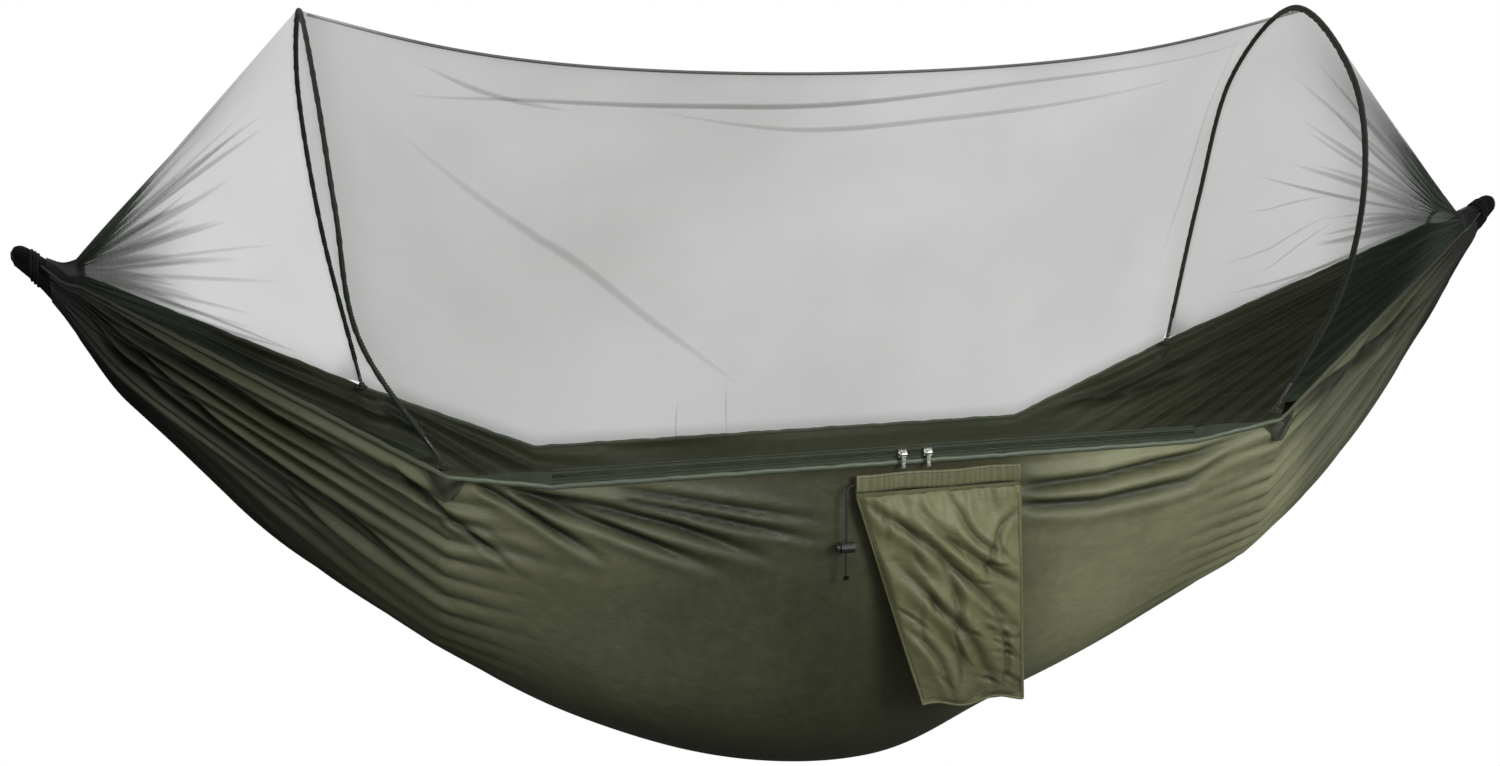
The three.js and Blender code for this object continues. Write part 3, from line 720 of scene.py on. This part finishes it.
def make_hem(name, edge, node):
    """The turned and sewn edge: a flat roll that dips and puckers between its stitches."""
    out = -1 if edge is FRONT_EDGE else 1
    x = np.linspace(-1.0, 1.0, 520)
    y, z = rim_at(edge, x)
    pucker = ripples(11, 0.3, x, (9, 17, 31, 43))
    path = stack(x, y + out * 0.0004, z + 0.0002 + 0.00035 * pucker)
    size = 0.0034 * (0.55 + 0.45 * smooth(1.0, 0.93, np.abs(x))) * (1 + 0.05 * pucker)
    build = Build()
    # The roll is painted darker towards the gathered ends: painted shade.
    build.tube(path, size, 14, flat=0.5, up=(0, 1, 0), gather=smooth(0.5, 0.6, np.abs(x)),
               shade=0.14 + 0.86 * smooth(0.97, 0.6, np.abs(x)))
    build.stitches((path + np.array([0, out * 0.0017, -0.0014]))[20:-20], out=(0, out, 0))
    for side in (-1, 1) if edge is FRONT_EDGE else ():
        beside = side * np.linspace(ZIP_HALF, 0.556, 40)[:, None]
        y, z = look_up(edge, beside)
        up = np.linspace(0, 1, 6)
        # The strips beside the zip are painted darker (0.42): painted shade.
        build.grid(stack(beside, y - 0.0008, z + lerp(0.001, front_rise(beside) + 0.001, up)),
                   None, 0.42)
    build.finish(name, [rim_green, thread], node)


def make_end(side):
    """Gathered cloth at a hanging point: pleats bundled and whipped round with cord."""
    name = NAMES[side]
    around, pleats = 176, 22
    out, *outline = BUNDLE[1:].T
    x = np.concatenate([np.linspace(out[0], out[-2], 46), np.linspace(out[-2], out[-1], 12)[1:]])
    wide, high, centre = (
        np.convolve(np.pad(np.interp(x, out, values), 3, mode="edge"), np.ones(7) / 7,
                    "valid")[:, None] for values in outline)
    x = x[:, None]
    turn = TAU * np.arange(around)[None] / around
    share = (x - x[0]) / (x[-1] - x[0])
    start = np.random.default_rng(21 + side).uniform(0, TAU)
    phase = turn * pleats + 0.5 * np.sin(turn * 3 + side) + start
    ripple = np.abs(np.sin((phase + 1.4 * share) / 2)) ** 0.7
    inset = 0.003 * np.minimum(1, wide / 0.014) * (1 - ripple) + 0.004 * smooth(0.985, 0.966, x)
    points = stack(side * x, side * (wide - inset) * np.cos(turn),
                   centre + (high - inset) * np.sin(turn))
    build = Build()
    # The pleat valleys and the end cap are painted darker: painted shade.
    build.grid(points, stack(side * x, turn * 0.05, 0.0), 0.3 + 0.7 * ripple, closed=True)
    build.add(points[-1], [range(around)], shade=0.5)
    build.finish(f"{name}_end_bundle", [dark_end], f"{name}_end_hem")

    turns, per_turn = 3, 28
    k = np.arange(turns * per_turn + 1) / per_turn
    out_at = 1.002 + 0.0034 * k
    wide, high, centre = look_up(BUNDLE, out_at)
    build = Build()
    build.tube(stack(side * out_at, (wide + 0.0002) * np.cos(TAU * k),
                     centre + (high + 0.0002) * np.sin(TAU * k)), 0.0017, 8)
    build.finish(f"{name}_gather_turns", [black_cord],
                 f"{name}_gather_cord")


# ---- hoops ----

ROD_RADIUS = 0.0025
SLEEVE_WIDTH, SLEEVE_SLIM = 0.0048, 0.0033


def make_hoop(side):
    """A spring rod in its sleeve, which is wider on the near leg of the right hoop."""
    name = NAMES[side]
    body = f"{name}_hoop"
    build = Build()
    build.tube(hoop_at(side, np.linspace(0.004, 0.996, 150)), ROD_RADIUS, 14)
    build.finish(f"{name}_hoop_shaft", [rod_black], f"{name}_hoop_rod", body)

    run = np.linspace(0.028, 0.968, 420)
    path = hoop_at(side, run)
    inward = unit(np.array([side * 0.655, 0, -0.02]) - path)
    pucker = ripples(5 + side, 0.3, run, (37, 61, 97))
    ahead = unit(np.gradient(path, axis=0))
    inward = unit(inward - ahead * np.sum(inward * ahead, axis=1, keepdims=True))
    flat_side = np.cross(ahead, inward)
    turn = TAU * np.arange(20) / 20
    near = smooth(0.4, 0.58, run) if side > 0 else 0.0
    long_half = (lerp(SLEEVE_SLIM, SLEEVE_WIDTH, near) * (1 + 0.05 * pucker))[:, None]
    thin_half = (lerp(0.003, 0.0034, near) * (1 - 0.06 * pucker))[:, None]
    ring = (np.cos(turn)[None, :, None] * (inward * long_half)[:, None]
            + np.sin(turn)[None, :, None] * (flat_side * thin_half)[:, None])
    points = (path + inward * (long_half - 0.0028))[:, None] + ring
    build = Build()
    build.grid(points, stack(lengths_of(path)[:, None], turn * 0.004, 0.0), gather=0.15,
               closed=True)
    seam = path + inward * (long_half * 1.98 - 0.0028)
    build.tube(seam, 0.0009, 6, gather=0.8)
    build.stitches(seam - inward * 0.0014 + flat_side * 0.78 * thin_half, out=flat_side)
    build.finish(f"{name}_hoop_casing", [sleeve_green, thread],
                 f"{name}_hoop_sleeve", body)


def make_foot(side, end):
    """The pocket at a corner of the mouth: a cup of folded cloth on a sewn patch."""
    name = f"{NAMES[side]}_{end}"
    (x, y, z), edge, out = ((HOOP[0], BACK_EDGE, 1) if end == "back" else
                            (HOOP[-1], FRONT_EDGE, -1))
    x = side * x
    build = Build()
    angle = np.linspace(-math.pi / 2 + 0.12, -0.35, 9)[:, None]
    turn = TAU * np.arange(36) / 36
    # The cups are painted darker (0.7): painted shade in the pocket.
    for radius in (0.0066, 0.0078):
        ring = radius * np.cos(angle) * (1 + 0.03 * np.sin(9 * turn))
        build.grid(stack(x + ring * np.cos(turn), y + ring * np.sin(turn),
                         z + radius * np.sin(angle)), shade=0.7, closed=True)
    lip = stack(x + 0.0071 * np.cos(turn), y + 0.0071 * np.sin(turn), z - 0.0026)
    build.tube(np.vstack([lip, lip[:1]]), 0.0011, 8, caps=False)
    u = np.linspace(-1, 1, 22)
    v = np.linspace(0, 1, 18)[:, None]
    patch_x = x + u * lerp(0.024, 0.007, v)
    edge_y, edge_z = look_up(edge, patch_x)
    drop = 0.026 * v
    patch_z = edge_z - drop - 0.001
    points = stack(patch_x, edge_y + out * (0.0055 + 0.0012 * np.sin(4 * u + 6 * v) - 0.1 * drop),
                   patch_z)
    # The patch carries bands of painted shade.
    build.grid(points, stack(patch_x, patch_z, 0.0), 0.8 + 0.2 * np.cos(5 * u) * (1 - v))
    border = np.vstack([points[:, 0], points[-1, 1:-1], points[::-1, -1]])
    build.stitches(border, out=(0, out, 0))
    build.finish(f"{name}_pocket", [flap_green, thread],
                 f"{name}_rod_socket")


# ---- insect net ----

NET_FOOT, NET_SETBACK, NET_TIP = 0.004, 0.0025, 0.958
RIDGE_HEIGHT, RIDGE_RISE = 0.195, 0.052
# A gather value at which the net lets everything through, for the soft edge of a fold.
CLEAR = -0.45


def front_rise(x):
    """How far the front wall's foot stands above the edge: over the zip, and less beside it."""
    return lerp(0.001, 0.0175, smooth(0.56, 0.43, np.abs(x)))


def roof(front, u, v):
    """One slope of the net roof. v runs from the ridge (0) down to the mouth's edge (1)."""
    across = np.abs(2 * u - 1)
    hoop_x, hoop_y, hoop_z = np.moveaxis(
        hoop_at(1, 0.5 + (v if front else -v) * (0.5 - NET_FOOT)), -1, 0)
    x = np.where(u < 0.5, -1.0, 1.0) * (hoop_x - NET_SETBACK) * across
    foot_y, foot_z = look_up(FRONT_EDGE if front else BACK_EDGE, x)
    y = foot_y * (v + 0.16 * np.sin(math.pi * v))
    ridge = RIDGE_HEIGHT + RIDGE_RISE * (x / HOOP[3, 0]) ** 2
    z = lerp(ridge, foot_z + (front_rise(x) if front else 0.001), v)
    share = across ** 6 * (1 - smooth(0.86, 1.0, v))
    return stack(x, lerp(y, hoop_y, share), lerp(z, hoop_z, share))


def ribbon(build, surface, line, width, gather, lift, shade=1.0):
    """A fold of doubled net lying on a surface, along a line of (u, v) points."""
    u, v = flat_spline(line, 14).T
    step = 1e-3
    centre = surface(u, v)
    normal = unit(np.cross(
        surface(np.clip(u + step, 0, 1), v) - surface(np.clip(u - step, 0, 1), v),
        surface(u, np.clip(v + step, 0, 1)) - surface(u, np.clip(v - step, 0, 1))))
    beside = np.cross(normal, unit(np.gradient(centre, axis=0)))
    share = np.linspace(0, 1, len(centre))
    size = (width * np.sin(math.pi * np.clip(share, 0.02, 0.98)) ** 0.6)[:, None]
    places = np.array([-1, -0.55, -0.1, 0.3, 0.65, 1])
    points = np.stack([centre + beside * size * k
                       + normal * (0.0006 + lift * (1 - abs(k)) * size / width)
                       for k in places], 1)
    solid = np.cos(places * math.pi / 2) ** 0.7 * (np.sin(math.pi * share) ** 0.7)[:, None]
    build.grid(points, stack(lengths_of(centre)[:, None], places * width, 0.0), shade,
               lerp(CLEAR, gather, solid))


# Folds of each wall: (u, v) lines, half width and gather value.
FRONT_NET_FOLDS = [
    ([(0.07, 0.16), (0.185, 0.105), (0.34, 0.09), (0.48, 0.085), (0.715, 0.045), (0.95, 0.05)],
     0.0052, 0.36),
    ([(0.31, 0.105), (0.455, 0.15), (0.61, 0.13), (0.88, 0.09)], 0.0052, 0.1),
    ([(0.1, 0.06), (0.16, 0.1), (0.24, 0.12)], 0.0055, 0.1),
    ([(0.283, 0.835), (0.27, 0.9), (0.26, 0.965)], 0.0014, 0.0),
    ([(0.338, 0.79), (0.328, 0.87), (0.318, 0.945)], 0.0012, 0.0),
    ([(0.89, 0.47), (0.94, 0.49), (0.985, 0.51)], 0.0018, 0.0),
    ([(0.865, 0.59), (0.93, 0.57), (0.985, 0.545)], 0.0018, 0.0),
    ([(0.9, 0.63), (0.945, 0.6), (0.985, 0.56)], 0.0016, 0.0),
]
BACK_NET_FOLDS = [
    ([(0.088, 0.295), (0.16, 0.38), (0.242, 0.47), (0.34, 0.66), (0.445, 0.86)], 0.0085, -0.05),
    ([(0.955, 0.1), (0.975, 0.4), (0.965, 0.8)], 0.004, -0.1),
]


def make_wall(name, front, folds, node):
    u, v = np.linspace(0, 1, 160)[:, None], np.linspace(0, 1, 70)
    points = roof(front, *np.broadcast_arrays(u, v))
    draw = np.random.default_rng(31 if front else 37).uniform
    wave = np.zeros(points.shape[:2])
    for _ in range(7):
        a, b = draw(0.6, 3.0), draw(0.3, 1.8)
        wave += np.sin(TAU * (a * u + b * v) + draw(0, TAU))
    still = smooth(0, 0.12, v) * smooth(0, 0.1, 1 - v) * within(0.1, u)
    points[..., 1] += (-1 if front else 1) * 0.0028 * wave * still
    gather = (lerp(-0.02, 0.05, smooth(0.75, 0.2, u))
              + 0.1 * smooth(0.93, 1.0, np.abs(2 * u - 1))
              + 0.35 * smooth(0.955, 1.0, v) + 0.1 * smooth(0.02, 0.0, v))
    build = Build()
    build.grid(points, stack(u * 1.33, v * 0.55, 0.0), 1.0, gather)
    # The folds are painted darker (0.8): painted shade.
    for line, width, closed in folds:
        ribbon(build, lambda a, b: roof(front, a, b), line, width, closed, 0.0015, 0.8)
    if front:
        seam = roof(True, np.linspace(0.004, 0.996, 160), np.zeros(160)) + np.array([0, 0, 0.0004])
        run = np.linspace(0, 1, 160)
        # The ridge seam is painted darker (0.75): painted shade.
        build.tube(seam, 0.0021, 8, shade=0.75,
                   gather=0.15 + 0.45 * smooth(0, 0.12, run) * smooth(0, 0.1, 1 - run))
    wall = build.finish(name, [wall_net], node)
    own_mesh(wall)


def end_surface(side, u, v):
    """End net: from the hoop (u = 0) in to the gathered end (u = 1), v from front to back foot."""
    on_hoop = hoop_at(1, lerp(1 - NET_FOOT, NET_FOOT, v))
    on_hoop[..., 0] += NET_SETBACK
    front_y, front_z = look_up(FRONT_EDGE, NET_TIP)
    angle = math.pi * v
    tip = stack(NET_TIP, front_y * np.cos(angle), front_z + 0.001 + 0.023 * np.sin(angle))
    x, y, z = np.moveaxis(on_hoop + (tip - on_hoop) * u[..., None], -1, 0)
    rim_y, rim_z = (np.where(v < 0.5, front, back) for front, back in
                    zip(look_up(FRONT_EDGE, x), look_up(BACK_EDGE, x)))
    floor = rim_z + 0.0008
    foot = (smooth(0.07, 0.0, v) + smooth(0.93, 1.0, v)) * smooth(0.0, 0.1, u)
    return stack(side * x, lerp(y, rim_y, foot), lerp(np.maximum(z, floor), floor, foot))


END_PLEATS, END_FOLDS = 26, 38
# Gather at the hoop, towards the tip and at the crown, and the crown's width.
END_GATHER = {-1: (0.0, 0.75, 0.45, 0.07), 1: (0.09, 0.85, 0.75, 0.1)}


def make_end_net(side):
    name = NAMES[side]
    u, v = np.linspace(0, 1, 90)[:, None], np.linspace(0, 1, 150)
    points = end_surface(side, *np.broadcast_arrays(u, v))
    random = np.random.default_rng(41 + side)
    draw = random.uniform
    pleat = np.sin(TAU * END_PLEATS * v + 1.2 * np.sin(TAU * 2 * v))
    deep = 0.0035 * smooth(0.45, 0.95, u) * within(0.03, v)
    points += unit(points - np.array([side * 0.8, 0, -0.05])) * (pleat * deep)[..., None]
    base, near_tip, crown, crown_width = END_GATHER[side]
    gather = (base + near_tip * smooth(0.45, 1.0, u) ** 1.6
              + crown * bell(v - 0.5, crown_width) * smooth(0.0, 0.65, u)
              + 0.2 * smooth(0.02, 0.0, u)
              + 0.5 * smooth(0.06, 0, v) ** 2 + 0.5 * smooth(0.94, 1, v) ** 2)
    build = Build()
    # The net is painted darker towards the tip: painted shade.
    build.grid(points, stack(u * 0.42, v * 0.95, 0.0), lerp(1.0, 0.35, smooth(0.8, 1.0, u)),
               np.clip(gather, 0, 1))
    for k in range(END_FOLDS):
        place = (k + draw(0.2, 0.8)) / END_FOLDS
        reach = random.choice([0.18, 0.35, 0.55]) * draw(0.85, 1.2)
        bend = draw(-0.035, 0.035)
        line = [(0.99, place), (lerp(0.99, reach, 0.5), np.clip(place + bend * 0.4, 0.01, 0.99)),
                (reach, np.clip(place + bend, 0.01, 0.99))]
        closed, width = draw(0.05, 0.4), draw(0.0028, 0.007)
        ribbon(build, lambda a, b: end_surface(side, a, b), line, width, closed, 0.002)
    rim = np.linspace(0, 1, 12)[:, None]
    out_at = lerp(NET_TIP - 0.006, 0.994, rim)
    foot_y, foot_z = rim_at(FRONT_EDGE, out_at)
    bundle_top = look_up(BUNDLE, 0.994)[1] * (1 + math.cos(RIM_ANGLE)) + 0.0012
    height = (lerp(0.0285, bundle_top, rim)
              + 0.0012 * np.sin(TAU * END_PLEATS * v) * (1 - rim)) * np.sin(math.pi * v)
    # The collar on the bundle is painted near black: painted shade.
    build.grid(stack(side * out_at, foot_y * np.cos(math.pi * v), foot_z + 0.001 + height), None,
               lerp(0.35, 0.06, smooth(0.0, 0.35, rim)), 0.95)
    net = build.finish(f"net_cone_{name}", [end_net], f"net_{name}_end")
    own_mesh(net)


# ---- zip ----

def make_tape(name, node, low, high):
    """Woven zip tape with a rib at each edge and a row of stitches."""
    x = np.linspace(-ZIP_HALF, ZIP_HALF, 260)
    profile_y, profile_z = np.array(
        [[-0.0007, 0], [-0.0009, 0.12], [-0.0006, 0.3], [-0.0006, 0.7],
         [-0.0009, 0.88], [-0.0007, 1], [0.0005, 1], [0.0005, 0]]).T
    sway = ripples(51, 0.2, x, (5, 11, 19)) * 0.0003
    points = stack(x[:, None], ZIP_Y + profile_y + sway[:, None], lerp(low, high, profile_z))
    build = Build()
    build.grid(points, stack(x[:, None], profile_z * 0.006, 0.0), closed=True)
    for end in (0, -1):
        build.add(points[end], [range(8)])
    build.stitches(stack(x, ZIP_Y - 0.0007 + sway, lerp(low, high, 0.45)), 0.0035, 0.0024, 0.0004)
    build.finish(name, [tape_green, thread], node, smoothed=False)


def make_coil(name, node, z, phase):
    """Coil teeth: a tight flattened spiral of monofilament."""
    pitch, per_turn = 0.0016, 8
    k = np.arange(int(2 * ZIP_HALF / pitch) * per_turn + 1)
    angle = TAU * k / per_turn + phase
    x = -ZIP_HALF + 0.0012 + (2 * ZIP_HALF - 0.0024) * k / k[-1]
    build = Build()
    build.tube(stack(x, ZIP_Y + 0.0011 * np.cos(angle), z + 0.001 * np.sin(angle)), 0.00034, 5)
    build.tube(stack(np.linspace(-ZIP_HALF, ZIP_HALF, 80), ZIP_Y, z), 0.00062, 6)
    build.finish(name, [coil_green], node)


# ---- pouch ----

POUCH_BACK = -0.2315
# The pouch's corners, top then bottom.
POUCH_LEFT, POUCH_RIGHT, POUCH_HEIGHT = (-0.044, 0.05), (0.178, 0.19), (-0.315, -0.604)


def pouch_outline(u, v):
    return lerp(lerp(*POUCH_LEFT, v), lerp(*POUCH_RIGHT, v), u), lerp(*POUCH_HEIGHT, v)


# Wrinkles of the pouch front as (u, v) lines, half width and depth.
POUCH_FOLDS = [
    ([(0.02, 0.03), (0.3, 0.2), (0.62, 0.45), (0.97, 0.7)], 0.0065, 0.006),
    ([(0.3, 0.04), (0.5, 0.22), (0.78, 0.38), (0.98, 0.46)], 0.006, 0.005),
    ([(0.1, 0.3), (0.3, 0.5), (0.52, 0.68), (0.7, 0.95)], 0.006, 0.005),
    ([(0.55, 0.03), (0.64, 0.2), (0.82, 0.3)], 0.005, 0.004),
    ([(0.95, 0.12), (0.8, 0.22), (0.7, 0.4)], 0.005, 0.004),
    ([(0.4, 0.3), (0.46, 0.48), (0.42, 0.66)], 0.0055, 0.004),
    ([(0.75, 0.55), (0.84, 0.75), (0.8, 0.97)], 0.005, 0.004),
    ([(0.06, 0.62), (0.22, 0.75), (0.3, 0.96)], 0.005, 0.004),
]


def pouch_wrinkles(x, z):
    """Height of the pouch's folds and creases, and the painted shade in each one."""
    height, dark = np.zeros_like(x), np.zeros_like(x)
    for line, width, depth in POUCH_FOLDS:
        curve_x, curve_z = pouch_outline(*flat_spline(line, 70).T)
        far = np.linalg.norm(stack(x[..., None] - curve_x, z[..., None] - curve_z), axis=-1)
        nearest, away = far.argmin(-1), far.min(-1)
        share = np.clip(nearest / (len(curve_x) - 1), 0.03, 0.97)
        strength = np.sin(math.pi * share) ** 0.5
        valley = bell(away, width)
        height += strength * (0.6 * bell(away - 2.1 * width, 1.3 * width) - valley) * depth
        dark += strength * valley * 0.4
    draw = np.random.default_rng(61).uniform
    for _ in range(26):
        middle_x, middle_z = pouch_outline(draw(0.1, 0.9), draw(0.1, 0.95))
        turn, width, length = draw(0.2, 1.5), draw(0.0022, 0.0042), draw(0.012, 0.032)
        dx, dz = x - middle_x, z - middle_z
        along = dx * math.cos(turn) - dz * math.sin(turn)
        across = dx * math.sin(turn) + dz * math.cos(turn) + along ** 2 * draw(-9, 9)
        spot, valley = bell(along, length), bell(across, width)
        height += spot * 0.0022 * (0.5 * bell(across - 2 * width, width) - valley)
        dark += spot * 0.22 * valley
    for _ in range(10):
        turn, wave = draw(0, math.pi), draw(9, 26)
        height += 0.0009 * np.sin(wave * TAU * (x * math.cos(turn) + z * math.sin(turn))
                                  + draw(0, TAU))
    return height, dark


def make_pouch():
    u, v = np.broadcast_arrays(np.linspace(0, 1, 130)[:, None], np.linspace(0, 1, 150))
    x, z = pouch_outline(u, v)
    height, dark = pouch_wrinkles(x, z)
    arch = np.sin(math.pi * u)
    swell = arch ** 0.6 * 0.02 * np.sin(math.pi * v ** 0.8) ** 0.8
    opened = 0.006 * arch ** 0.4 * (1 - v)
    gathers = 0.0016 * np.sin(TAU * 11 * u) * smooth(0.14, 0.0, v)
    height = height * within(0.05, u) * smooth(0, 0.04, 1 - v) + gathers * within(0.04, u)
    hang = 0.004 * np.sin(TAU * 1.6 * u + 0.6) * smooth(0.7, 1.0, v)
    front = stack(x, POUCH_BACK - 0.0035 - swell - opened - height, z - 0.003 * (1 - v) + hang)
    cloth = stack(x, z, 0.0)
    build = Build()
    # Painted shade: darker in the creases and towards the bottom.
    build.grid(front, cloth, np.clip(1 - dark, 0.3, 1) * lerp(1.0, 0.66, smooth(0.55, 1.0, v)))
    inside = np.array([0, 0.0006, 0])
    # The edge rolls are painted a little darker: painted shade.
    for path, radius, shade in ((front[0], 0.0018, 0.9), (front[-1], 0.0018, 0.9),
                                (front[:, -1], 0.002, 0.85)):
        build.tube(path + inside, radius, 8, shade=shade)
    for path in (front[3, 4:-4], front[-4, 4:-4], front[4:-4, -5]):
        build.stitches(path - inside)
    piece = build.finish("pouch_front_cloth", [pouch_green, thread],
                         "pouch_front_panel", "pouch")

    build = Build()
    ripple = 0.0008 * np.sin(TAU * 3 * u + 4 * v) * arch
    back = stack(x, POUCH_BACK + 0.0006 + ripple, z)
    # The back panel is painted darker (0.75): painted shade.
    build.grid(back[:, ::-1], cloth[:, ::-1], 0.75)
    panel = build.finish("pouch_back_cloth", [pouch_green], "pouch_back_panel",
                         "pouch")


def rounded(wave, power):
    return np.abs(wave) ** power * np.sign(wave)


def make_band():
    """The pouch's drawcord channel, sewn to the body under the zip."""
    x = np.linspace(POUCH_LEFT[0], POUCH_RIGHT[0], 170)[:, None]
    ring = TAU * np.arange(26) / 26
    gathers = 0.6 + 0.4 * np.sin(TAU * 120 * x + 2.5 * np.sin(TAU * 17 * x))
    sag = 0.0008 * np.sin(TAU * 9 * x)
    out = rounded(np.sin(ring), 0.6)
    y = -0.2312 + 0.0026 * out * (1 + 0.22 * gathers * (out < 0))
    z = -0.3023 + sag + 0.0112 * rounded(np.cos(ring), 0.5)
    build = Build()
    # The gathers' valleys are painted darker: painted shade.
    build.grid(stack(x, y, z), stack(x, ring * 0.005, 0.0), 0.75 + 0.25 * gathers, closed=True)
    for level in (-0.2937, -0.311):
        build.stitches(stack(x, -0.2345, level + sag)[:, 0])
    build.finish("pouch_band", [pouch_green, thread], "pouch_header")


# ---- drawcord and cord lock ----

CORD_RADIUS = 0.0015
CORD_ROUTE = [
    (-0.047, -0.231, -0.304), (-0.051, -0.2315, -0.3045), (-0.055, -0.233, -0.307),
    (-0.0575, -0.235, -0.312), (-0.058, -0.2365, -0.319),
    *((-0.058, -0.237, z) for z in (-0.328, -0.34, -0.354, -0.368, -0.382, -0.396, -0.408,
                                    -0.419))]
LOCK_HEIGHT = -0.382
SPRING_START, SPRING_LENGTH, SPRING_RADIUS = 0.0029, 0.003, 0.0026


def make_lock_spring():
    """The coil spring behind the cord lock's button. On the real lock it shortens as the button
    goes in.
    """
    x, y = CORD_ROUTE[-1][0] + SPRING_START, CORD_ROUTE[-1][1]
    turn = np.linspace(0, 2.5 * TAU, 90)
    build = Build()
    build.tube(stack(x + SPRING_LENGTH * turn / turn[-1], y + SPRING_RADIUS * np.cos(turn),
                     LOCK_HEIGHT + SPRING_RADIUS * np.sin(turn)), 0.00035, 8)
    spring = build.finish("cord_lock_coil", [spring_wire], "cord_lock_spring",
                          "cord_lock")
    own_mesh(spring)
    return spring


def make_knot():
    x, y, z = CORD_ROUTE[-1]
    angle = np.linspace(0, TAU * 1.5, 40)
    build = Build()
    build.tube(stack(x + 0.0022 * np.cos(angle), y + 0.0019 * np.sin(angle),
                     z - 0.0015 - 0.003 * angle / (TAU * 1.5)), 0.0015, 8)
    cross = [[-0.0026, -0.001, -0.0045], [0, -0.0028, -0.0026], [0.0026, 0, -0.0012],
             [0.0006, 0.0022, -0.003]]
    build.tube(spline(CORD_ROUTE[-1] + np.array(cross), 8), 0.0014, 8)
    return build.finish("cord_end_knot", [black_cord], "drawcord_knot")


def make_drawcord():
    curve = bpy.data.curves.new("pouch_cord", "CURVE")
    curve.dimensions = "3D"
    line = curve.splines.new("NURBS")
    line.points.add(len(CORD_ROUTE) - 1)
    for point, (x, y, z) in zip(line.points, CORD_ROUTE):
        point.co = (x + MIDDLE, y, z, 1)
    line.use_endpoint_u, line.order_u, line.resolution_u = True, 3, 6
    curve.bevel_depth, curve.bevel_resolution, curve.use_fill_caps = CORD_RADIUS, 3, True
    curve.materials.append(cord_black)
    cord = settle("pouch_cord", curve, "pouch_drawcord")
    knot = make_knot()
    make_lock_spring()


def dress_cad(node, material, bevel, segments=3, angle=30):
    """A hard CAD part stays, with softened edges and a finish of its own."""
    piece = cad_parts[node]
    piece.data.materials.clear()
    piece.data.materials.append(material)
    edges = piece.modifiers.new("soft_edges", "BEVEL")
    edges.width, edges.segments = bevel, segments
    edges.limit_method, edges.angle_limit = "ANGLE", math.radians(angle)
    edges.harden_normals = False


body = make_body()
make_hem("front_hem_roll", FRONT_EDGE, "front_hem")
make_hem("back_hem_roll", BACK_EDGE, "back_hem")
for side in (-1, 1):
    make_end(side)
    make_hoop(side)
    for end in ("back", "front"):
        make_foot(side, end)
make_wall("net_wall_front", True, FRONT_NET_FOLDS, "net_front_wall")
make_wall("net_wall_back", False, BACK_NET_FOLDS, "net_back_wall")
for side in (-1, 1):
    make_end_net(side)
make_tape("zip_tape_low", "zip_lower_tape", -0.2763, -0.2703)
make_tape("zip_tape_high", "zip_upper_tape", -0.2647, -0.2587)
make_coil("zip_teeth_low", "zip_lower_coil", -0.2688, 0.0)
make_coil("zip_teeth_high", "zip_upper_coil", -0.2662, math.pi)
make_pouch()
make_band()
for name in ("left", "right"):
    dress_cad(f"zip_slider_{name}", silver, 0.0003)
    dress_cad(f"zip_pull_{name}", silver, 0.0003)
    for end in ("back", "front"):
        dress_cad(f"{name}_hoop_{end}_tip", black, 0.0005, 2, 10)
dress_cad("cord_lock_barrel", black, 0.0006)
dress_cad("cord_lock_button", black, 0.0005)
make_drawcord()
